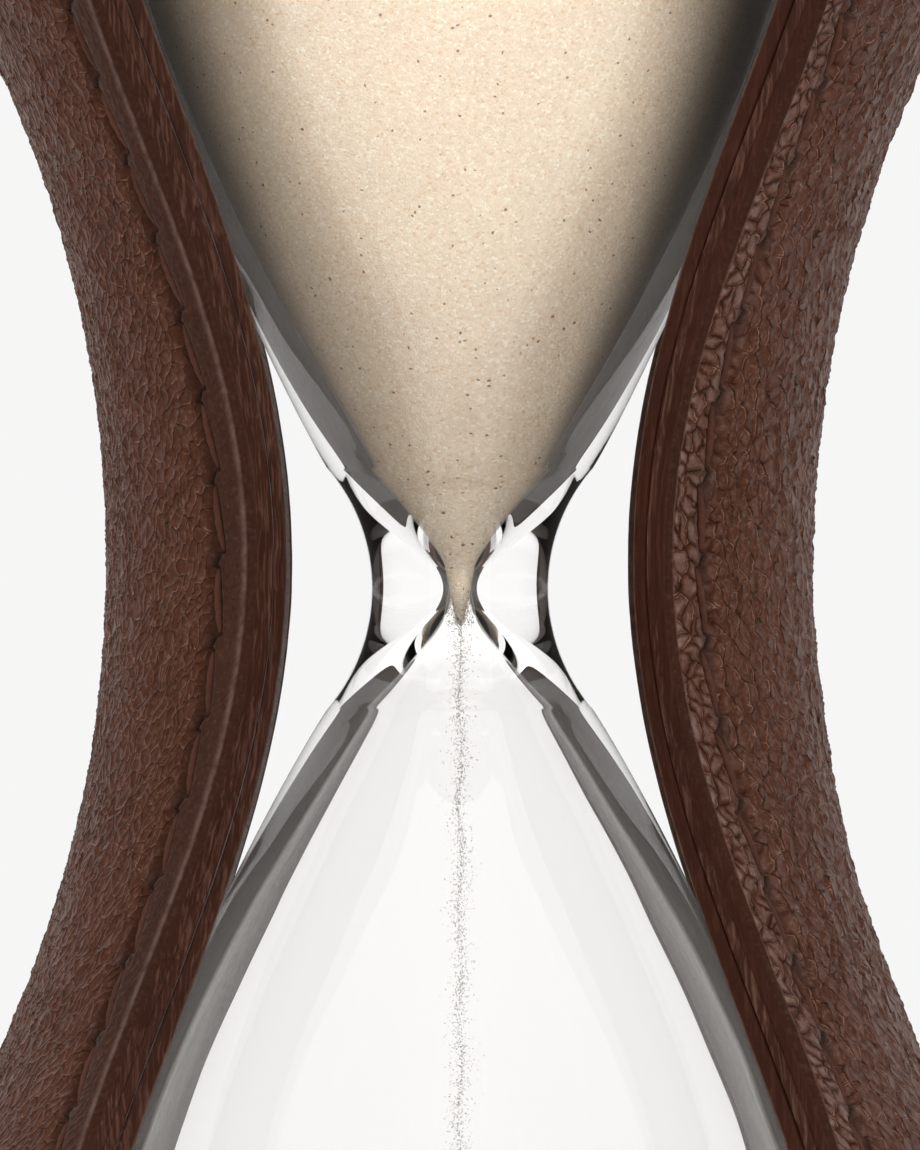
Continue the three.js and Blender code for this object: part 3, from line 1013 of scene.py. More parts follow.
@dataclass(frozen=True)
class SteelFinish:
    """Bare steel, drawn in one direction, dulled where it was handled."""

    name: str
    base: Colour
    roughness: float

    def build(self) -> Material:
        """Lays out the material and returns it."""
        f = Finish(self.name)
        t = f.tree
        drawn = t.add("Mapping", {"Vector": f.place, "Scale": (6.0, 6.0, 0.3)}).outputs[0]
        line = t.noise(drawn, 1.5, 4.0)
        colour = f.drift(self.base, 0.1, 7.0)
        rough = t.spread(line, 0.3, 0.7, self.roughness, self.roughness + 0.2)
        values = {"Base Color": colour, "Metallic": 1.0, "Roughness": rough}
        return f.finish(values, line, 0.01)


BROWN: Colour = (0.0715, 0.0214, 0.0096)
# DEEP is the colour of the painted shade in the creases and on the smooth margin; CREST that of the painted
# highlights on the crests; both also tint the random flecks.
DEEP: Colour = (0.011, 0.0032, 0.0014)
CREST: Colour = (0.26, 0.15, 0.11)
HIDE = LeatherFinish("fine_pebbled_hide", BROWN, DEEP, CREST, FINE_PEBBLES)
ROUND_HIDE = LeatherFinish("round_pebbled_hide", BROWN, DEEP, CREST, ROUND_PEBBLES)
CAP_HIDE = LeatherFinish("cap_hide", BROWN, DEEP, CREST, CAP_PEBBLES)
INNER_HIDE = LeatherFinish("inner_cap_hide", BROWN, DEEP, CREST, FINE_PEBBLES, cut_sheet=False)
LINING = LeatherFinish("lining_hide", (0.25, 0.235, 0.225), (0.1, 0.09, 0.083), (0.3, 0.285, 0.27),
                       LINING_PEBBLES, depth=0.03, roughness=(0.3, 0.4), gloss=0.35)
FILLER = CutEdgeFinish("filler_edge", (0.04, 0.012, 0.0055), (0.17, 0.085, 0.06))
DARK_EDGE = CutEdgeFinish("polished_edge", (0.036, 0.0098, 0.0042), (0.075, 0.028, 0.017))
EDGE = CutEdgeFinish("burnished_edge", (0.036, 0.0106, 0.0048), (0.15, 0.072, 0.05))
THREAD = ThreadFinish("waxed_thread", (0.07, 0.023, 0.0115))
SPRING_STEEL = SteelFinish("rolled_steel", (0.42, 0.43, 0.45), 0.34)
SCREW_STEEL = SteelFinish("turned_steel", (0.58, 0.58, 0.6), 0.22)


@dataclass(frozen=True)
class FinishRack:
    """Every finish of the hourglass, built once and taken by its plain name."""

    hide: Material = field(default_factory=HIDE.build)
    pebbled_hide: Material = field(default_factory=ROUND_HIDE.build)
    cap_hide: Material = field(default_factory=CAP_HIDE.build)
    inner_hide: Material = field(default_factory=INNER_HIDE.build)
    lining: Material = field(default_factory=LINING.build)
    filler: Material = field(default_factory=FILLER.build)
    dark_edge: Material = field(default_factory=DARK_EDGE.build)
    edge: Material = field(default_factory=EDGE.build)
    thread: Material = field(default_factory=THREAD.build)
    glass: Material = field(default_factory=GlassFinish().build)
    sand: Material = field(default_factory=SandFinish(SandKind.PACKED).build)
    grains: Material = field(default_factory=SandFinish(SandKind.LOOSE).build)
    falling: Material = field(default_factory=SandFinish(SandKind.FALLING).build)
    specks: Material = field(default_factory=SpeckFinish().build)
    wood: Material = field(default_factory=WoodFinish().build)
    cork: Material = field(default_factory=CorkFinish().build)
    spring_steel: Material = field(default_factory=SPRING_STEEL.build)
    screw_steel: Material = field(default_factory=SCREW_STEEL.build)


def settle(piece: Piece, material: Material, slot: str, *nodes: str) -> None:
    """Dresses a piece, fixes it to the frame and hides the CAD nodes that it stands for.

    Args:
        piece: the object.
        material: its finish.
        slot: not used.
        nodes: CAD nodes that it replaces.
    """
    if not piece.data.materials:
        piece.data.materials.append(material)
    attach(piece, "root")
    if nodes:
        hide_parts(*nodes)
    corners = [corner[2] / MM - MID_HEIGHT for corner in piece.bound_box]
    count = len(piece.data.polygons)
    log.info("%s: %d faces, heights %.2f to %.2f", piece.name, count, min(corners), max(corners))


def dress_node(node: str, material: Material) -> None:
    """Gives a CAD node that stays a finish.

    Args:
        node: name of the CAD node.
        material: its finish.
    """
    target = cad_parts[node]
    target.data.materials.clear()
    target.data.materials.append(material)
    log.info("%s: dressed", node)


# ------------------------------------------------------------------ glass


@dataclass(frozen=True)
class BulbCurve:
    """Half of a bulb's wall: a waist arc, a swelling curve, and the arc that turns into the end."""

    neck: float
    curve: float
    angle: float
    pull: float
    bulb_pull: float
    radius: float
    length: float
    corner: float

    def outline(self, waist_count: int = 40, swell_count: int = 110, turn_count: int = 24) -> Array:
        """Points from the throat to the start of the flat end.

        Args:
            waist_count: points of the waist arc.
            swell_count: points of the swelling curve.
            turn_count: points of the end arc.

        Returns:
            N by 2 array of radius and height above the throat.
        """
        waist = arc((self.neck + self.curve, 0), self.curve, math.pi, math.pi - self.angle, waist_count)
        start = waist[-1]
        end = np.array([self.radius, self.length - self.corner])
        reach = start + self.pull * np.array([math.tan(self.angle), 1.0])
        swell = bezier([start, reach, end - np.array([0, self.bulb_pull]), end], swell_count)
        centre = (self.radius - self.corner, self.length - self.corner)
        turn = arc(centre, self.corner, 0, math.pi / 2, turn_count)
        return np.vstack([waist, swell, turn[1:]])


@dataclass
class GlassVessel:
    """The blown double bulb with the stopper that closes its filling hole."""

    finishes: FinishRack
    throat_height: float = -1.9
    neck_radius: float = 5.9
    neck_curve: float = 12.2
    cone_angle: float = math.radians(40.4)
    cone_pull: float = 1.0
    bulb_pull: float = 22.0
    bulb_radius: float = 26.8
    end_curve: float = 12.0
    throat_radius: float = 0.8
    throat_curve: float = 3.3
    bore_angle: float = math.radians(30.4)
    bore_pull: float = 3.2
    inner_bulb_pull: float = 30.0
    side_wall: float = 1.8
    end_wall: float = 2.2
    fill_hole: float = 4.0
    lip: float = 0.5
    steps: int = 280

    def __post_init__(self) -> None:
        """Reads the vessel's two ends from the frame."""
        low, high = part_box("glass_vessel")
        self.top = high.z / MM - MID_HEIGHT
        self.bottom = low.z / MM - MID_HEIGHT

    def _length(self, end: End) -> float:
        """Distance from the throat to the vessel's end."""
        return self.top - self.throat_height if end is End.TOP else self.throat_height - self.bottom

    def outer(self, end: End) -> Array:
        """Outer wall of one bulb as radius and height above mid height.

        Args:
            end: the upper or the lower bulb.

        Returns:
            N by 2 array that starts at the throat.
        """
        curve = BulbCurve(self.neck_radius, self.neck_curve, self.cone_angle, self.cone_pull, self.bulb_pull,
                          self.bulb_radius, self._length(end), self.end_curve)
        return self._placed(curve.outline(), end)

    def inner(self, end: End) -> Array:
        """Inner wall of one bulb as radius and height above mid height.

        Args:
            end: the upper or the lower bulb.

        Returns:
            N by 2 array that starts at the throat.
        """
        curve = BulbCurve(self.throat_radius, self.throat_curve, self.bore_angle, self.bore_pull,
                          self.inner_bulb_pull, self.bulb_radius - self.side_wall,
                          self._length(end) - self.end_wall, self.end_curve - self.side_wall)
        return self._placed(curve.outline(), end)

    def _placed(self, outline: Array, end: End) -> Array:
        """Moves an outline from the throat to its height."""
        return outline * np.array([1.0, end.value]) + np.array([0.0, self.throat_height])

    def build(self) -> None:
        """Makes the vessel and the stopper."""
        hole, lip = self.fill_hole, self.lip
        mouth = np.vstack([
            arc((hole + lip, self.bottom + self.end_wall - lip), lip, math.pi / 2, math.pi, 6),
            arc((hole + lip, self.bottom + lip), lip, math.pi, 1.5 * math.pi, 6),
        ])
        outline = np.vstack([
            [[0, self.top - self.end_wall]], self.inner(End.TOP)[::-1], self.inner(End.BOTTOM)[1:],
            mouth, self.outer(End.BOTTOM)[::-1], self.outer(End.TOP)[1:], [[0, self.top]],
        ])
        vessel = turned("blown_vessel", outline, self.steps)
        settle(vessel, self.finishes.glass, "glass", "glass_vessel")
        self._stopper()

    def _stopper(self) -> None:
        """Makes the cork that closes the filling hole."""
        low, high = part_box("fill_stopper")
        head, bottom, top = high.x / MM, low.z / MM - MID_HEIGHT, high.z / MM - MID_HEIGHT
        shank, ledge, soft = self.fill_hole - 0.25, self.bottom - 0.3, 0.35
        outline = np.vstack([
            [[0, bottom]], arc((head - soft, bottom + soft), soft, -math.pi / 2, 0, 6),
            arc((head - soft, ledge - soft), soft, 0, math.pi / 2, 6),
            [[shank, ledge]], arc((shank - soft, top - soft), soft, 0, math.pi / 2, 6), [[0, top]],
        ])
        rough = Pattern(31)

        def dents(radius: Array, angle: Array, height: Array) -> Array:
            """Small dents of cut cork."""
            return 0.12 * (rough.noise(angle * 8, height + radius, 0.8) - 0.8).clip(-1, 0)

        settle(turned("cork_stopper", outline, 72, dents), self.finishes.cork, "cork", "fill_stopper")


# ------------------------------------------------------------------ sand


@dataclass
class Sand:
    """The charge in the upper bulb, the falling stream and the heap below it.

    A Profile of the stream gives distances below the throat and the value at each.
    """

    vessel: GlassVessel
    finishes: FinishRack
    slack: float = 0.06
    crater_radius: float = 13.0
    crater_depth: float = 8.0
    crater_lip: float = 5.0
    tip: tuple[tuple[float, float], ...] = ((0.0, -2.2), (0.3, -1.8), (0.5, -1.1), (0.66, -0.4))
    stream_grains: int = 5600
    stream_sizes: tuple[float, float] = (0.032, 0.06)
    stream_width: Profile = ((0, 2.5, 5, 12, 60), (0.6, 0.5, 0.36, 0.38, 0.5))
    stream_limit: Profile = ((0, 0.8, 4), (0.62, 0.7, 1.6))
    stream_sway: Profile = ((0, 3, 9, 60), (0, 0.02, 0.12, 0.2))
    throat_share: float = 0.2
    throat_reach: float = 0.035
    stray_share: float = 0.3
    stray_spread: float = 1.9
    heap_grains: int = 5000
    speck_count: int = 170
    seed: int = 7

    def __post_init__(self) -> None:
        """Starts the random numbers and reads the sand's levels."""
        self.rng = np.random.default_rng(self.seed)
        self.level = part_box("upper_sand")[1].z / MM - MID_HEIGHT
        heap_low, heap_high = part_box("lower_sand")
        self.floor = heap_low.z / MM - MID_HEIGHT
        self.heap_top = heap_high.z / MM - MID_HEIGHT
        self.heap_radius = heap_high.x / MM

    def build(self) -> None:
        """Makes every sand piece."""
        self._charge()
        self._stream()
        self._heap()

    def _charge(self) -> None:
        """Makes the packed sand of the upper bulb with its crater and its dark grains."""
        wall = self.vessel.inner(End.TOP)
        throat = self.vessel.throat_height
        wall = wall[wall[:, 1] < self.level] - np.array([self.slack, 0.0])
        rim = wall[-1, 0]
        lip = [rim - self.crater_lip, self.level + 0.2]
        shoulder = [self.crater_radius, self.level - 1.0]
        crater = bezier([[rim, self.level], lip, shoulder, [0, self.level - self.crater_depth]], 60)
        tip = np.array(self.tip) + np.array([0.0, throat])
        outline = np.vstack([tip, wall, crater])
        ripple = Pattern(5)

        def grainy(radius: Array, angle: Array, height: Array) -> Array:
            """Fine unevenness of packed sand."""
            return 0.03 * (ripple.noise(angle * 40, height, 0.5) - 1)

        settle(turned("sand_charge", outline, 180, grainy), self.finishes.sand, "sand", "upper_sand")
        count = self.speck_count
        height = throat + 1 + (self.level - throat - 2) * self.rng.random(count) ** 0.6
        angle = self.rng.random(count) * 2 * math.pi
        radius = np.interp(height, wall[:, 1], wall[:, 0]) - 0.02
        centres = round_axis(radius, angle, height)
        sizes = self.rng.uniform(0.04, 0.1, count) * self.rng.uniform(0.6, 1.2, count)
        specks = loose_grains("dark_sand_grains", centres, sizes, self.rng)
        settle(specks, self.finishes.specks, "sand")

    def _stream(self) -> None:
        """Makes the falling grains: a dense thread at the throat that loosens on its way down."""
        top, bottom = self.vessel.throat_height, self.heap_top + 0.4
        count = self.stream_grains
        at_throat = self.rng.random(count) < self.throat_share
        fall = np.where(at_throat, self.throat_reach, 1.0) * self.rng.random(count) ** 1.2
        height = top + (bottom - top) * fall
        below = top - height
        width = np.interp(below, *self.stream_width)
        strayed = self.rng.random(count) < self.stray_share
        spread = np.minimum(np.abs(self.rng.normal(size=count)), 2.0) * width
        spread = spread * np.where(strayed, self.stray_spread, 1.0)
        spread = np.minimum(spread, np.interp(below, *self.stream_limit))
        angle = self.rng.random(count) * 2 * math.pi
        sway = np.interp(below, *self.stream_sway) * np.sin(height * 0.9 + 0.5)
        centres = round_axis(spread, angle, height) + sway[:, None] * np.array([1.0, 0.0, 0.0])
        sizes = self.rng.uniform(*self.stream_sizes, count)
        stream = loose_grains("falling_grains", centres, sizes, self.rng)
        settle(stream, self.finishes.falling, "sand", "falling_sand")

    def _heap(self) -> None:
        """Makes the heap on the lower bulb's floor and the grains scattered over it."""
        rim, top, floor = self.heap_radius, self.heap_top, self.floor
        foot, crown = [rim * 0.66, floor + 1.8], [rim * 0.3, top - 1.6]
        slope = bezier([[rim, floor + 0.4], foot, crown, [0, top]], 60)
        outline = np.vstack([[[0, floor - 0.2]], [[rim - 0.3, floor - 0.2]], [[rim, floor]], slope])
        lumps = Pattern(13)

        def lumpy(radius: Array, angle: Array, height: Array) -> Array:
            """Low lumps over the whole heap."""
            x, y = radius * np.cos(angle) + 40, radius * np.sin(angle) + 40
            return 0.25 * (lumps.layered(x, y, 2.2) - 0.75)

        settle(turned("sand_heap", outline, 200, lumpy), self.finishes.sand, "sand", "lower_sand")
        count = self.heap_grains
        radius = rim * np.sqrt(self.rng.random(count)) * 0.98
        angle = self.rng.random(count) * 2 * math.pi
        height = np.interp(radius, slope[::-1, 0], slope[::-1, 1]) + 0.02
        centres = round_axis(radius, angle, height)
        strewn = loose_grains("strewn_grains", centres, self.rng.uniform(0.05, 0.11, count), self.rng)
        settle(strewn, self.finishes.grains, "sand")


# ------------------------------------------------------------------ leather panels


@dataclass(frozen=True)
class Sheath:
    """The waisted form that both panels follow; the same sizes as the CAD panels have."""

    waist_radius: float = 23.5
    waist_curve: float = 78.3
    flare_angle: float = math.radians(29)
    half_height: float = 72.0
    window_waist: float = 13.5
    window_swing: float = 6.7
    window_span: float = 54.0

    def wall(self, height: Array) -> tuple[Array, Array]:
        """Radius and lean of the outer face.

        Args:
            height: heights above mid height.

        Returns:
            The radius and the lean, in radians, at each height.
        """
        h = np.minimum(np.abs(height), self.half_height)
        turn_height = self.waist_curve * math.sin(self.flare_angle)
        shoulder = (self.half_height - turn_height) / math.sin(self.flare_angle)
        end_radius = self.waist_radius + (self.waist_curve + shoulder) * (1 - math.cos(self.flare_angle))
        low = np.arcsin(np.clip(h / self.waist_curve, 0, 1))
        high = np.arcsin(np.clip((self.half_height - h) / shoulder, 0, 1))
        waisted = h < turn_height
        radius = np.where(waisted, self.waist_radius + self.waist_curve * (1 - np.cos(low)),
                          end_radius - shoulder * (1 - np.cos(high)))
        return radius, np.sign(height) * np.where(waisted, low, high)

    def edge_angle(self, height: Array) -> Array:
        """Angle from the front round to the first cut edge at each height.

        Args:
            height: heights above mid height.

        Returns:
            The angles in radians.
        """
        turn = math.pi * np.minimum(np.abs(height), self.window_span) / self.window_span
        half_width = self.window_waist + self.window_swing * (1 - np.cos(turn))
        return np.arcsin(half_width / self.wall(height)[0])

    def arc_length(self, height: Array) -> Array:
        """Length round the outer face from cut edge to cut edge at each height."""
        return self.wall(height)[0] * (math.pi - 2 * self.edge_angle(height))

    def point(self, along: Array, height: Array, inward: Array) -> Array:
        """Places points of a panel before it is turned to its side.

        Args:
            along: millimetres round the outer face from the first cut edge.
            height: heights above mid height.
            inward: depth under the outer face; negative stands proud of it.

        Returns:
            An array with x, y and z as its last axis.
        """
        radius, lean = self.wall(height)
        angle = self.edge_angle(height) + along / radius
        r = radius - inward * np.cos(lean)
        return round_axis(r, angle, height + inward * np.sin(lean))


@dataclass(frozen=True)
class Grain:
    """Character of a hide's pebbles."""

    seed: int
    cell: float
    stretch: float
    slant: float
    depth: float
    breaks: float
    margin: float
    margin_sheen_and_wear: float
    wrinkle: float

    def relief(self, x: Array, y: Array) -> tuple[Array, Array]:
        """Height and crease mask of the hide.

        Args:
            x: millimetres across the hide.
            y: millimetres along it.

        Returns:
            Height in millimetres, 0 at the crests, and the crease mask from 0 to 1.
        """
        p = Pattern(self.seed)
        bend = 0.9 * self.cell
        wx = x + bend * (p.layered(x + 50, y, 3.1 * self.cell) - 0.5) * 2
        wy = y + bend * (p.layered(x, y + 80, 3.1 * self.cell) - 0.5) * 2
        border = p.cells(wx, wy, self.cell, self.stretch, self.slant)
        fine = p.cells(wx + 31, wy - 17, self.cell * 0.52, self.stretch, self.slant)
        patches = p.layered(x + 9, y + 5, 2.4 * self.cell)
        strength = smooth_step(0.5 - self.breaks, 0.5 + self.breaks, patches)
        weak = smooth_step(0.45, 0.75, p.layered(x - 30, y + 60, 1.8 * self.cell))
        line = np.exp(-((border / 0.13) ** 1.5)) * (0.35 + 0.65 * strength)
        hair = np.exp(-((fine / 0.11) ** 1.5)) * weak * 0.45
        dome = 1 - np.exp(-border / 0.33)
        crease = np.clip(np.maximum(line, hair), 0, 1)
        fold = p.layered(x * 0.5 + y * 0.4, y * 0.25 - x * 0.2, 3.4, 3) - 0.5
        height = self.depth * (0.55 * dome - 0.6 * crease - 0.3) + self.wrinkle * fold
        return height, crease


@dataclass(frozen=True)
class SaddleSeam:
    """A seam of slanted saddle stitches in a pressed groove."""

    inset: float = 3.1
    pitch: float = 5.4
    slant: float = 0.27
    gap: float = 0.45
    slot_width: float = 0.4
    slot_depth: float = 0.55
    line_width: float = 0.15
    hole_width: float = 0.14
    thread_radius: float = 0.34
    sunk: float = 0.34

    def relief(self, across: Array, along: Array, lean: Array | float) -> tuple[Array, Array]:
        """Slots and holes that the stitches press into the leather.

        Args:
            across: distance from the seam's line, away from the cut edge.
            along: distance along it; a hole lies at each whole pitch.
            lean: +1 or -1, which way the stitches slant.

        Returns:
            Depth in millimetres and the mask of painted shade in the holes and along the slot's edge.
        """
        step = (along / self.pitch + 0.5) % 1.0 - 0.5
        past = step * self.pitch
        share = np.clip((np.abs(past) - self.gap) / (self.pitch / 2 - self.gap), 0, 1)
        middle = across - lean * self.slant * np.sign(past) * (1 - share)
        run = smooth_step(self.gap - 0.15, self.gap + 0.15, np.abs(past))
        width = np.where(middle > 0, self.slot_width * 1.7, self.slot_width)
        slot = np.exp(-np.abs(middle / width) ** 3) * run
        hole_line = across - lean * self.slant * past / self.gap
        hole = np.exp(-((hole_line / self.hole_width) ** 2)) * (1 - smooth_step(0.35, 0.62, np.abs(past)))
        # Painted shade: a dark line along the slot's edge, as its shadow.
        line = np.exp(-(((middle + self.thread_radius + 0.06) / self.line_width) ** 2)) * run
        depth = self.slot_depth * np.maximum(slot, 0.8 * hole) + 0.12 * line
        return depth, np.clip(1.2 * hole + 1.2 * line, 0, 1)


def stitch_run(name: str, seam: SaddleSeam, count: int, lean: int,
               path: Relief, sides: int = 12, steps: int = 26) -> Piece:
    """Makes every stitch of a seam as one piece of waxed thread.

    Args:
        name: name of the piece.
        seam: the seam's sizes.
        count: number of stitches.
        lean: +1 or -1, which way the stitches slant.
        path: places points given across, along and out of the leather.
        sides: facets round the thread.
        steps: rings along a stitch.

    Returns:
        The object.
    """
    t = np.linspace(0.0, 1.0, steps)
    turn = np.arange(sides) * 2 * math.pi / sides
    swell = np.maximum(np.sin(math.pi * t), 0.02) ** 0.3
    twist = turn[None, :] - 16.0 * t[:, None]
    radius = seam.thread_radius * swell[:, None] * (1 + 0.07 * np.cos(2 * twist))
    dive = seam.sunk + 0.5 * (1 - np.maximum(np.sin(math.pi * t), 0.0) ** 0.35)
    length = seam.pitch - 2 * seam.gap + 0.3
    points, faces, marks = [], [], []
    rng = np.random.default_rng(count + sides)
    for k in range(count):
        sway = rng.normal(0, 0.025)
        across = lean * seam.slant * (1 - 2 * t) + sway * np.sin(math.pi * t)
        along = (k + 0.5) * seam.pitch + (t - 0.5) * length
        out = radius * np.sin(turn) * 0.86 - dive[:, None] + rng.normal(0, 0.015)
        side = across[:, None] + radius * np.cos(turn)
        ring = path(side, np.repeat(along[:, None], sides, axis=1), out)
        start = k * steps * sides
        points.append(ring.reshape(-1, 3))
        faces.append(grid_faces(steps, sides, True) + start)
        # Painted shade on the thread's ends, where they dive into the holes.
        marks.append(np.repeat(0.8 * (1 - smooth_step(0.0, 0.1, np.minimum(t, 1 - t))), sides))
    ends = [np.arange(sides)[::-1] + k * steps * sides for k in range(count)]
    ends += [np.arange(sides) + (k * steps + steps - 1) * sides for k in range(count)]
    every_face = [np.vstack(faces), np.array(ends)]
    return make_mesh(name, np.vstack(points), every_face, {"pit_shade": np.concatenate(marks)})


@dataclass(frozen=True)
class Ply:
    """One layer of a panel: its depths and how its cut edge is rounded."""

    top: float
    bottom: float
    recess: float
    top_round: float
    bottom_round: float

    def edge(self, count: int = 7) -> Array:
        """The cut edge from the outer face to the inner one.

        Args:
            count: points of each rounded corner.

        Returns:
            N by 2 array: distance in from the cut edge, and depth.
        """
        a, b = self.top_round, self.bottom_round
        t = np.linspace(0, math.pi / 2, count)
        upper = np.stack([self.recess + a * (1 - np.sin(t)), self.top + a * (1 - np.cos(t))], axis=1)
        lower = np.stack([self.recess + b * (1 - np.cos(t)), self.bottom - b * (1 - np.sin(t))], axis=1)
        flank = np.linspace(upper[-1], lower[0], 6)[1:-1]
        return np.vstack([upper, flank, lower])


@dataclass
class LeatherPanel:
    """One side panel: outer leather, two filler strips, lining leather and two stitched seams."""

    side: Side
    grain: Grain
    pebbles: Pebbles
    hide: Material
    cut: Material
    finishes: FinishRack
    form: Sheath = field(default_factory=Sheath)
    seam: SaddleSeam = field(default_factory=SaddleSeam)
    outer: Ply = Ply(0.0, 1.42, 0.0, 0.62, 0.16)
    middle: Ply = Ply(1.47, 2.53, 0.14, 0.2, 0.2)
    lining: Ply = Ply(2.58, 4.0, 0.03, 0.2, 0.4)
    margin: float = 4.4
    strip: float = 8.5
    gap_to_caps: float = 0.15
    face_rows: int = 660
    face_columns: int = 172

    @property
    def name(self) -> str:
        """Plain name of the side."""
        return self.side.name.lower()

    def build(self) -> None:
        """Makes the plies and the threads."""
        self._measure_seam()
        self._outer_leather()
        self._plain_ply("lining", self.lining, None, self.finishes.lining, "lining_leather")
        filler = self.finishes.filler
        for seam, edge in zip(Seam, self._edges()):
            self._plain_ply(f"{edge}_filler_strip", self.middle, seam, filler, "filler_leather")
            self._thread(seam, edge)
        dress_node(f"{self.name}_stiffener", self.finishes.spring_steel)

    def _edges(self) -> tuple[str, str]:
        """Which edge of the object each seam is on, once the panel is in place."""
        return ("front", "back") if self.side is Side.RIGHT else ("back", "front")

    def _turn(self, points: Array) -> Array:
        """Turns points from the right-hand side to the panel's own side.

        Args:
            points: N by 3 array.

        Returns:
            The turned points.
        """
        c, s = math.cos(self.side.value), math.sin(self.side.value)
        turn = np.array([[c, s, 0], [-s, c, 0], [0, 0, 1]])
        return points @ turn

    def _measure_seam(self) -> None:
        """Measures the seam line, so that stitches are even along it."""
        end = self.form.half_height - self.gap_to_caps
        self.heights = np.linspace(-end, end, 2001)
        inset = np.full_like(self.heights, self.seam.inset)
        line = self.form.point(inset, self.heights, np.zeros_like(inset))
        steps = np.linalg.norm(np.diff(line, axis=0), axis=1)
        self.travel = np.concatenate([[0], np.cumsum(steps)]) - steps.sum() / 2

    def _along_seam(self, height: Array) -> Array:
        """Distance along the seam from mid height."""
        return np.interp(height, self.heights, self.travel)

    def _rows(self, count: int) -> Array:
        """Heights of the mesh rows, closer together about the waist.

        Args:
            count: number of rows.

        Returns:
            The heights above mid height.
        """
        end = self.form.half_height - self.gap_to_caps
        t = np.linspace(-1, 1, count)
        return end * (0.62 * t + 0.38 * t**3)

    def _outer_leather(self) -> None:
        """Makes the pebbled outer leather with its seams and rounded cut edges."""
        height = self._rows(self.face_rows)[:, None]
        total = self.form.arc_length(height)
        near = np.linspace(self.outer.top_round, self.margin, 32)
        middle = np.linspace(0, 1, self.face_columns)[1:-1]
        along = np.hstack([
            np.broadcast_to(near, (len(height), len(near))),
            self.margin + (total - 2 * self.margin) * middle,
            total - near[::-1],
        ])
        rows = np.broadcast_to(height, along.shape)
        depth, masks = self._face_relief(along, rows, total)
        edge = self.outer.edge()[1:]
        flank_b = total - edge[:, 0]
        back = total * np.linspace(1, 0, 24)[1:-1]
        back = np.clip(back, self.outer.bottom_round + 0.1, total - self.outer.bottom_round - 0.1)
        flank_a = np.broadcast_to(edge[::-1, 0], (len(height), len(edge)))
        all_along = np.hstack([along, flank_b, back, flank_a])
        rough = self._edge_roughness(height, len(edge))
        all_depth = np.hstack([
            depth, np.broadcast_to(edge[:, 1], rough.shape), np.full_like(back, self.outer.bottom),
            np.broadcast_to(edge[::-1, 1], rough.shape),
        ])
        inward = np.hstack([np.zeros_like(along), -rough, np.zeros_like(back), rough[:, ::-1]])
        all_along = all_along + inward
        rest = (len(height), all_along.shape[1] - along.shape[1])
        full = {k: np.hstack([v, np.full(rest, 1.0 if k == "smooth" else 0.0)]) for k, v in masks.items()}
        full["across"] = all_along - total / 2
        full["along"] = np.broadcast_to(self._along_seam(height), all_along.shape)
        piece = self._loft(f"{self.name}_pebbled_leather", all_along, height, all_depth, full)
        self.pebbles.emboss(piece)
        piece.data.materials.append(self.hide)
        piece.data.materials.append(self.cut)
        columns, beyond_face = all_along.shape[1], along.shape[1] + 4
        self._paint_columns(piece, len(height), columns, beyond_face, columns - 5)
        settle(piece, self.hide, "outer_leather", f"{self.name}_outer_leather")

    def _face_relief(self, along: Array, rows: Array, total: Array) -> tuple[Array, dict[str, Array]]:
        """Depth and masks of the outer face.

        Args:
            along: distance round from the first cut edge.
            rows: heights.
            total: length round at each height.

        Returns:
            Depth under the smooth face, and the masks for the finish and the pebbles.
        """
        from_edge = np.minimum(along, total - along)
        height, crease = self.grain.relief(along - total / 2 + 60, rows + 90)
        seam_gap = from_edge - self.seam.inset
        field_share = smooth_step(0.2, 1.5, seam_gap)
        rough = self.grain.margin + (1 - self.grain.margin) * field_share
        calm = rough * (0.2 + 0.8 * smooth_step(0.3, 0.8, np.abs(seam_gap)))
        lean = np.where(along < total / 2, 1.0, -1.0)
        slot, pit_shade = self.seam.relief(seam_gap, self._along_seam(rows), lean)
        roll = 0.08 * np.sin(np.clip(from_edge / self.seam.inset, 0, 1) * math.pi)
        depth = -height * calm + slot - roll
        # The wear mask lightens the crests, a line along the rounded rim and the margin's domes: partly
        # rubbed wear, partly painted highlight and sheen.
        crest = smooth_step(-0.1, 0.5, height / self.grain.depth) * (1 - crease)
        rim = np.exp(-(((from_edge - 0.66) / 0.24) ** 2)) * 0.5
        net = (1 - field_share) * (self.grain.margin > 0.5)
        wear_and_sheen = calm * (0.1 * crest + self.grain.margin_sheen_and_wear * (1 - field_share)) + rim
        masks = {
            "crease": crease * calm, "pit_shade": pit_shade, "wear_and_sheen": np.clip(wear_and_sheen, 0, 1), "smooth": 1 - calm,
            "net": net, "relief": calm * (1 - 0.6 * net),
        }
        return depth, masks

    def _edge_roughness(self, height: Array, count: int) -> Array:
        """Small unevenness of a cut edge, drawn out along its length.

        Args:
            height: heights of the rows, as a column.
            count: points across the cut edge.

        Returns:
            Millimetres in from the plain edge, a row for each height.
        """
        p = Pattern(self.grain.seed + 3)
        across = np.arange(count)[None, :] * 0.35 + np.zeros_like(height)
        return 0.11 * (p.layered(across * 2.4, height * 0.35 + np.zeros_like(across), 0.9) - 0.5)

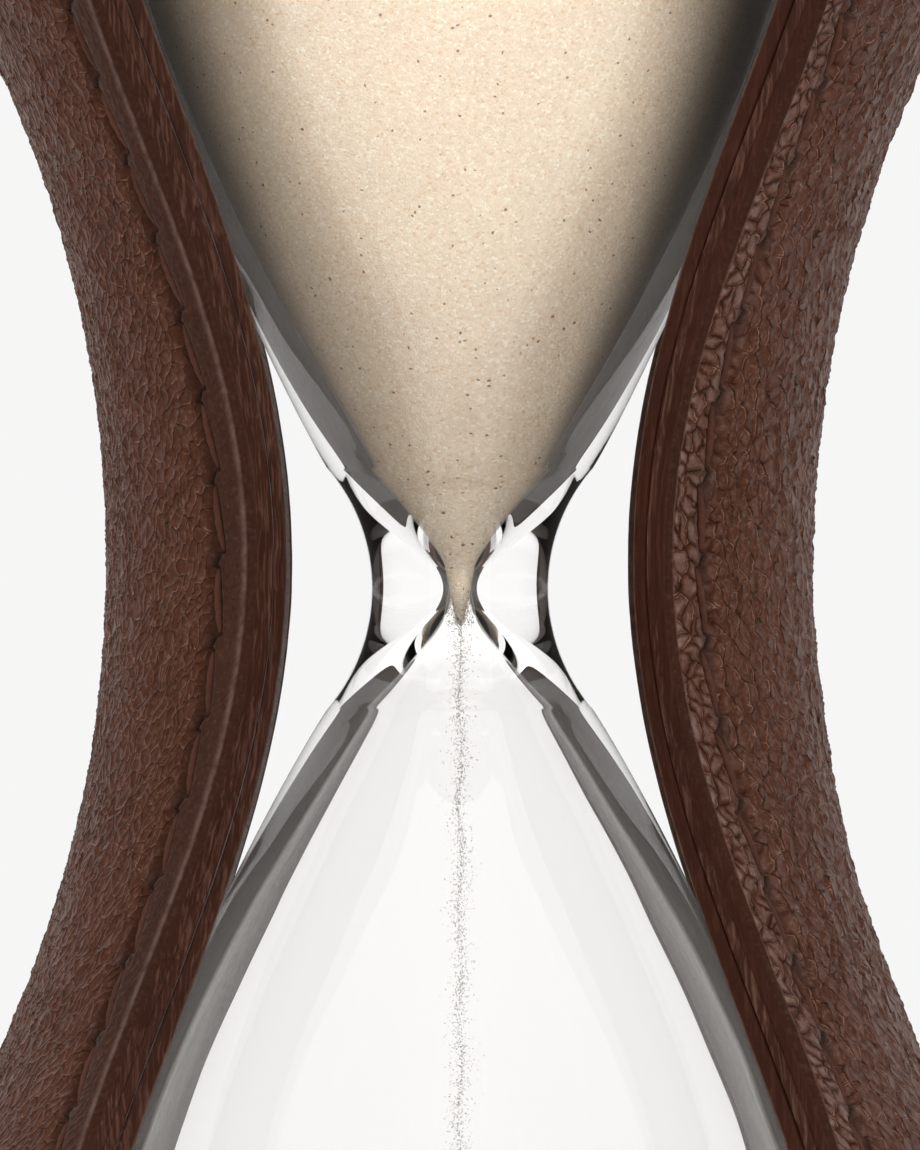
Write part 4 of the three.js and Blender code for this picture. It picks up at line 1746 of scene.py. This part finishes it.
    def _plain_ply(self, label: str, ply: Ply, seam: Seam | None, material: Material, slot: str) -> None:
        """Makes the lining or a filler strip.

        Args:
            label: name of the piece after its side.
            ply: depths and rounding.
            seam: the edge that a strip lies on, or None for the whole width.
            material: its finish.
            slot: the record's material slot.
        """
        height = self._rows(360)[:, None]
        total = self.form.arc_length(height)
        edge = ply.edge(6)
        if seam is None:
            low, high = np.zeros_like(total), total
        elif seam is Seam.FIRST:
            low, high = np.zeros_like(total), np.full_like(total, self.strip)
        else:
            low, high = total - self.strip, total
        inner = 1.1
        share = np.linspace(0, 1, 40 if seam is None else 10)
        face = low + inner + (high - low - 2 * inner) * share
        rough = self._edge_roughness(height, len(edge)) * 0.8
        along = np.hstack([
            face, high - edge[:, 0] - rough, face[:, ::-1], low + edge[::-1, 0] + rough[:, ::-1],
        ])
        depth = np.hstack([
            np.full_like(face, ply.top), np.broadcast_to(edge[:, 1], rough.shape),
            np.full_like(face, ply.bottom), np.broadcast_to(edge[::-1, 1], rough.shape),
        ])
        # Lighter corners of the lining's cut edges: rubbed wear and painted highlight.
        wear_and_sheen = np.zeros_like(along)
        if seam is None:
            corner = slice(face.shape[1] + len(edge) - 5, face.shape[1] + len(edge) + 1)
            wear_and_sheen[:, corner] = 0.55
            wear_and_sheen[:, -len(edge) - 1:-len(edge) + 5] = 0.55
        masks = {"wear_and_sheen": wear_and_sheen, "across": along - total / 2, "along": self._along_seam(height) + 0 * along}
        piece = self._loft(f"{self.name}_{label}", along, height, depth, masks)
        stem = label.replace("_strip", "") if seam is not None else "lining_leather"
        if seam is None:
            piece.data.materials.append(material)
            piece.data.materials.append(self.cut)
            faces = face.shape[1]
            self._paint_columns(piece, len(height), along.shape[1], faces, faces + len(edge))
            self._paint_columns(piece, len(height), along.shape[1], 2 * faces + len(edge), along.shape[1])
        settle(piece, material, slot, f"{self.name}_{stem}")

    def _loft(self, name: str, along: Array, height: Array, depth: Array, masks: dict[str, Array]) -> Piece:
        """Closes rows of points round the ply into a solid.

        Args:
            name: name of the piece.
            along: millimetres round the outer face for each point.
            height: heights of the rows, as a column.
            depth: depth under the outer face for each point.
            masks: values for each point.

        Returns:
            The object.
        """
        rows, columns = along.shape
        points = self.form.point(along, np.broadcast_to(height, along.shape), depth)
        points = self._turn(points.reshape(-1, 3))
        first = np.arange(columns)[None, :]
        last = first[:, ::-1] + (rows - 1) * columns
        return make_mesh(name, points, [grid_faces(rows, columns, True)[:, ::-1], first, last], masks)

    @staticmethod
    def _paint_columns(piece: Piece, rows: int, columns: int, first: int, last: int) -> None:
        """Gives the faces of a run of columns the piece's second material.

        Args:
            piece: object made by _loft.
            rows: number of rows of points.
            columns: number of columns of points.
            first: first column of the run.
            last: column after the run.
        """
        index = np.zeros(len(piece.data.polygons), np.int32)
        piece.data.polygons.foreach_get("material_index", index)
        grid = index[: (rows - 1) * columns].reshape(rows - 1, columns)
        grid[:, first:last] = 1
        piece.data.polygons.foreach_set("material_index", index)

    def _thread(self, seam: Seam, edge: str) -> None:
        """Makes the stitches of one seam.

        Args:
            seam: the seam of the panel.
            edge: front or back, for the name.
        """
        low, high = self.travel[0], self.travel[-1]
        first = math.ceil((low + 2.0) / self.seam.pitch)
        count = math.floor((high - 2.0) / self.seam.pitch) - first
        sign = 1 if seam is Seam.FIRST else -1

        def path(across: Array, along: Array, out: Array) -> Array:
            """Places thread points on the panel.

            Args:
                across: millimetres from the seam's line, away from the cut edge.
                along: millimetres from the first stitch.
                out: millimetres out of the leather.

            Returns:
                The points.
            """
            height = np.interp(along + first * self.seam.pitch, self.travel, self.heights)
            start = 0 if seam is Seam.FIRST else self.form.arc_length(height)
            round_face = start + sign * (self.seam.inset + across)
            placed = self.form.point(round_face, height, -out)
            return self._turn(placed.reshape(-1, 3)).reshape(placed.shape)

        piece = stitch_run(f"{self.name}_{edge}_stitches", self.seam, count, sign, path)
        settle(piece, self.finishes.thread, "thread", f"{self.name}_{edge}_thread")


# ------------------------------------------------------------------ caps


@dataclass
class Cap:
    """One end: leather face and rim over the wooden core, cork seat, stitched seam and screws."""

    end: End
    grain: Grain
    finishes: FinishRack
    seam: SaddleSeam = field(default_factory=lambda: SaddleSeam(pitch=5.25))
    seam_inset: float = 3.4
    rim_round: float = 1.3
    face_round: float = 0.55
    rim_leather: float = 1.6
    rim_sink: float = 0.1
    relief_room: float = 0.08
    soft_corner: float = 0.35
    seat_hole: float = 5.2
    screws: int = 4

    @property
    def name(self) -> str:
        """Plain name of the end."""
        return self.end.name.lower()

    def build(self) -> None:
        """Makes the cap's pieces and dresses the ones that keep their CAD shape."""
        self._face()
        self._rim()
        self._seat()
        self._thread()
        dress_node(f"{self.name}_cap_core", self.finishes.wood)
        dress_node(f"{self.name}_inner_leather", self.finishes.inner_hide)
        for k in range(self.screws):
            dress_node(f"{self.name}_screw_{k + 1}", self.finishes.screw_steel)

    def _levels(self, node: str) -> tuple[float, float, float]:
        """Radius, near level and far level of a CAD node, levels as distances from mid height.

        Args:
            node: name of the CAD node.

        Returns:
            The three numbers in millimetres.
        """
        low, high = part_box(node)
        levels = sorted(abs(z / MM - MID_HEIGHT) for z in (low.z, high.z))
        return high.x / MM, levels[0], levels[1]

    def _stand(self, outline: Array) -> Array:
        """Puts an outline drawn for the top cap at this end, still on its way round the solid.

        Args:
            outline: N by 2 array for the top cap.

        Returns:
            The outline for this cap.
        """
        if self.end is End.TOP:
            return outline
        return (outline * np.array([1.0, -1.0]))[::-1]

    def _hide_relief(self, amount: float) -> Relief:
        """Pebbles for a turned piece, seen from outside.

        Args:
            amount: share of the hide's own relief.

        Returns:
            Function of radius, angle and height for turned.
        """
        def relief(radius: Array, angle: Array, height: Array) -> Array:
            """Height of the hide over the plain form.

            Args:
                radius: radius of each point.
                angle: angle of each point.
                height: height of each point.

            Returns:
                Millimetres out of the plain form.
            """
            on_face = np.abs(np.gradient(height, axis=0)) < np.abs(np.gradient(radius, axis=0))
            x = np.where(on_face, radius * np.cos(angle), radius.max() * angle)
            y = np.where(on_face, radius * np.sin(angle), height)
            return amount * self.grain.relief(x + 120, y + 150)[0]
        return relief

    def _face(self) -> None:
        """Makes the leather of the outward face on a polar grid, with its groove."""
        radius, near, far = self._levels(f"{self.name}_face_leather")
        steps, rings = 900, 150
        seam_radius = radius - self.seam_inset
        flat = radius - self.face_round
        ring = flat - flat * (1 - np.linspace(0.004, 1, rings) ** 0.85)
        angle = np.arange(steps) * 2 * math.pi / steps
        r = np.repeat(ring[:, None], steps, axis=1)
        a = np.broadcast_to(angle, r.shape)
        height, crease = self.grain.relief(r * np.cos(a) + 120, r * np.sin(a) + 150)
        stitches = round(2 * math.pi * seam_radius / self.seam.pitch)
        pitch_share = a / (2 * math.pi) * stitches * self.seam.pitch
        groove, pit_shade = self.seam.relief(seam_radius - r, pitch_share, 1.0)
        calm = smooth_step(0.0, 0.7, np.abs(r - seam_radius)) * 0.9 + 0.1
        crown, soft = far - self.relief_room, self.face_round
        level = crown + np.minimum(height * calm, self.relief_room) - groove
        rim = arc((radius - soft, crown - soft), soft, math.pi / 2, 0, 7)[1:]
        side = np.vstack([rim, [[radius, near + 0.1], [radius - 0.1, near], [0.6, near]]])
        r_all = np.vstack([r, np.repeat(side[:, :1], steps, axis=1)])
        z_all = np.vstack([level, np.repeat(side[:, 1:], steps, axis=1)]) * self.end.value
        a_all = np.broadcast_to(angle, r_all.shape)
        points = round_axis(r_all, a_all, z_all).reshape(-1, 3)
        count = len(r_all)
        tips = np.array([[0, 0, level[0].mean() * self.end.value], [0, 0, near * self.end.value]])
        first, last = len(points), len(points) + 1
        near_ring, far_ring = np.arange(steps), np.arange(steps) + (count - 1) * steps
        faces = [grid_faces(count, steps, True)[:, ::-1],
                 np.stack([np.full(steps, first), near_ring, np.roll(near_ring, -1)], axis=1),
                 np.stack([np.full(steps, last), np.roll(far_ring, -1), far_ring], axis=1)]
        if self.end is End.BOTTOM:
            faces = [f[:, ::-1] for f in faces]
        pad = np.zeros((len(side), steps))
        # A lighter ring at the face's rounded rim: rubbed wear and painted highlight.
        wear_and_sheen = np.vstack([np.exp(-(((r - radius + 0.6) / 0.5) ** 2)) * 0.5, pad])
        masks = {"crease": np.vstack([crease * calm, pad]), "pit_shade": np.vstack([pit_shade, pad]), "wear_and_sheen": wear_and_sheen,
                 "smooth": np.vstack([1 - calm, pad]), "across": r_all * np.cos(a_all),
                 "along": r_all * np.sin(a_all)}
        masks = {k: np.concatenate([v.reshape(-1), [0, 0]]) for k, v in masks.items()}
        piece = make_mesh(f"{self.name}_face_hide", np.vstack([points, tips]), faces, masks)
        settle(piece, self.finishes.cap_hide, "outer_leather", f"{self.name}_face_leather")

    def _rim(self) -> None:
        """Makes the leather band round the cap, rolled over at both edges."""
        radius, near, far = self._levels(f"{self.name}_rim_leather")
        near, far = near + self.rim_sink, far - self.rim_sink
        inner, outer = radius - self.rim_leather, radius - self.relief_room
        c, s = self.rim_round, self.soft_corner
        middle = np.linspace([outer, near + c], [outer, far - c], 34)[1:-1]
        outline = np.vstack([
            arc((inner + s, near + s), s, math.pi, 1.5 * math.pi, 5),
            arc((outer - c, near + c), c, -math.pi / 2, 0, 14), middle,
            arc((outer - c, far - c), c, 0, math.pi / 2, 14),
            arc((inner + s, far - s), s, math.pi / 2, math.pi, 5),
        ])
        relief = self._hide_relief(0.9)

        def limit(radius: Array, angle: Array, height: Array) -> Array:
            """The relief, kept inside the cap's box and off the inner wall."""
            return np.where(radius > inner + 0.3, np.minimum(relief(radius, angle, height), 0.07), 0.0)

        piece = turned(f"{self.name}_rim_hide", self._stand(outline), 1150, limit)
        settle(piece, self.finishes.cap_hide, "outer_leather", f"{self.name}_rim_leather")

    def _seat(self) -> None:
        """Makes the cork ring that the glass sits on."""
        radius, near, far = self._levels(f"{self.name}_bulb_seat")
        hole, s = self.seat_hole, self.soft_corner
        outline = np.vstack([
            arc((hole + s, near + s), s, math.pi, 1.5 * math.pi, 5),
            arc((radius - s, near + s), s, -math.pi / 2, 0, 5),
            arc((radius - s, far - s), s, 0, math.pi / 2, 5),
            arc((hole + s, far - s), s, math.pi / 2, math.pi, 5),
        ])
        seat = turned(f"{self.name}_cork_seat", self._stand(outline), 160)
        settle(seat, self.finishes.cork, "cork", f"{self.name}_bulb_seat")

    def _thread(self) -> None:
        """Makes the ring of stitches on the face."""
        radius, _, far = self._levels(f"{self.name}_face_leather")
        seam_radius = radius - self.seam_inset
        count = round(2 * math.pi * seam_radius / self.seam.pitch)
        sunk = SaddleSeam(pitch=self.seam.pitch, sunk=self.seam.sunk + 0.12)

        def path(across: Array, along: Array, out: Array) -> Array:
            """Places thread points on the face.

            Args:
                across: millimetres from the seam's line, towards the middle.
                along: millimetres from the first stitch.
                out: millimetres out of the leather.

            Returns:
                The points.
            """
            angle = along / (count * self.seam.pitch) * 2 * math.pi
            r = seam_radius - across
            return round_axis(r, angle, (far + out) * self.end.value)

        piece = stitch_run(f"{self.name}_face_stitches", sunk, count, 1, path)
        settle(piece, self.finishes.thread, "thread", f"{self.name}_face_thread")


# ------------------------------------------------------------------ studio


@dataclass
class Studio:
    """Pale floor, soft light and the camera, level with the waist and close to it."""

    backdrop: float = 0.922
    back_glow: float = 1.02
    front_glow: float = 0.62
    side_glow: float = 0.22
    top_glow: float = 0.7
    back_reach: tuple[float, float] = (0.1, 0.6)
    front_reach: tuple[float, float] = (-0.12, -0.3)
    top_reach: tuple[float, float] = (0.3, 0.95)
    bounces: int = 24
    view_height: float = 76.67
    drop: float = 1.0
    distance: float = 1000.0
    sensor: float = 36.0
    floor_radius: float = 0.6

    def build(self) -> None:
        """Sets up the whole studio."""
        self._world()
        self._floor()
        self._softbox("front_softbox", (0.1, -1.2, 0.12), (0.7, 1.2), 2.6)
        self._softbox("left_softbox", (-1.05, -0.45, 0.4), (0.6, 1.0), 3.9)
        self._softbox("right_softbox", (1.05, -0.45, 0.4), (0.6, 1.0), 3.7)
        self._camera()
        scene = bpy.context.scene
        scene.view_settings.view_transform = "Standard"
        scene.cycles.caustics_refractive = True
        scene.cycles.caustics_reflective = True
        scene.cycles.max_bounces = self.bounces
        scene.cycles.transmission_bounces = self.bounces
        scene.cycles.transparent_max_bounces = self.bounces
        scene.cycles.use_denoising = True

    def _world(self) -> None:
        """A lit backdrop behind, dim sides, and a broad bright front and top."""
        world = bpy.data.worlds.new("studio")
        bpy.context.scene.world = world
        world.use_nodes = True
        world.node_tree.nodes.clear()
        t = Tree(world.node_tree)
        way = t.add("SeparateXYZ", {0: t.add("TexCoord").outputs["Generated"]})
        behind = t.spread(way.outputs[1], *self.back_reach, 0.0, self.back_glow - self.side_glow)
        front = t.spread(way.outputs[1], *self.front_reach, 0.0, self.front_glow - self.side_glow)
        above = t.spread(way.outputs[2], *self.top_reach, 0.0, self.top_glow)
        level = t.plus(t.plus(behind, front), t.plus(above, self.side_glow))
        seen = t.add("LightPath").outputs["Is Camera Ray"]
        strength = t.add("Mix", {0: seen, 2: level, 3: self.backdrop}).outputs[0]
        glow = t.add("Background", {"Color": (1.0, 0.998, 0.995), "Strength": strength})
        t.add("OutputWorld", {"Surface": glow.outputs[0]})

    def _floor(self) -> None:
        """A pale round floor that fades out at its rim."""
        bpy.ops.mesh.primitive_circle_add(vertices=96, radius=self.floor_radius, fill_type="NGON")
        floor = bpy.context.object
        floor.name = "studio_floor"
        material = bpy.data.materials.new("pale_floor")
        material.use_nodes = True
        material.node_tree.nodes.clear()
        t = Tree(material.node_tree)
        here = t.add("TexCoord").outputs["Object"]
        reach = t.add("VectorMath", {0: here}, operation="LENGTH").outputs["Value"]
        fade = t.spread(reach, 0.35 * self.floor_radius, 0.98 * self.floor_radius, 0.0, 1.0)
        grain = t.noise(here, 40.0, 3.0)
        tone = t.ramp(grain, [(0.0, (0.86, 0.86, 0.855)), (1.0, (0.9, 0.9, 0.895))])
        paper = t.add("BsdfPrincipled", {"Base Color": tone, "Roughness": 0.8})
        clear = t.add("BsdfTransparent")
        mixed = t.add("MixShader", {0: fade, 1: paper.outputs[0], 2: clear.outputs[0]})
        t.add("OutputMaterial", {"Surface": mixed.outputs[0]})
        floor.data.materials.append(material)

    def _softbox(self, name: str, place: tuple[float, float, float], size: tuple[float, float],
                 power: float) -> None:
        """Adds a large soft light that looks at the waist.

        Args:
            name: name of the light.
            place: position in metres.
            size: width and height in metres.
            power: power in watts.
        """
        light = bpy.data.lights.new(name, "AREA")
        light.shape = "RECTANGLE"
        light.size, light.size_y = size
        light.energy = power
        light.cycles.use_multiple_importance_sampling = False
        lamp = bpy.data.objects.new(name, light)
        lamp.location = place
        aim = Vector((0, 0, MID_HEIGHT * MM)) - Vector(place)
        lamp.rotation_euler = aim.to_track_quat("-Z", "Y").to_euler()
        bpy.context.scene.collection.objects.link(lamp)

    def _camera(self) -> None:
        """Adds the camera, straight in front of the waist."""
        data = bpy.data.cameras.new("waist_camera")
        data.sensor_width = self.sensor
        data.lens = self.sensor * self.distance / self.view_height
        camera = bpy.data.objects.new("waist_camera", data)
        camera.location = (0, -self.distance * MM, (MID_HEIGHT - self.drop) * MM)
        camera.rotation_euler = (math.pi / 2, 0, 0)
        bpy.context.scene.collection.objects.link(camera)
        bpy.context.scene.camera = camera


FINE_GRAIN = Grain(seed=11, cell=2.3, stretch=1.6, slant=0.5, depth=0.12, breaks=0.16, margin=0.1,
                   margin_sheen_and_wear=0.04, wrinkle=0.22)
ROUND_GRAIN = Grain(seed=23, cell=2.6, stretch=0.7, slant=-0.3, depth=0.2, breaks=0.2, margin=1.0,
                    margin_sheen_and_wear=0.6, wrinkle=0.42)
CAP_GRAIN = Grain(seed=37, cell=2.4, stretch=1.3, slant=0.2, depth=0.1, breaks=0.18, margin=1.0,
                  margin_sheen_and_wear=0.2, wrinkle=0.1)


def main() -> None:
    """Builds the sub-assemblies in order."""
    logging.basicConfig(level=logging.INFO, format="%(name)s %(message)s")
    Studio().build()
    finishes = FinishRack()
    vessel = GlassVessel(finishes)
    vessel.build()
    Sand(vessel, finishes).build()
    hide, edge = finishes.pebbled_hide, finishes.dark_edge
    LeatherPanel(Side.RIGHT, ROUND_GRAIN, ROUND_PEBBLES, hide, edge, finishes).build()
    hide, edge = finishes.hide, finishes.edge
    LeatherPanel(Side.LEFT, FINE_GRAIN, FINE_PEBBLES, hide, edge, finishes).build()
    for end in End:
        Cap(end, CAP_GRAIN, finishes).build()


if __name__ == "__main__":
    main()
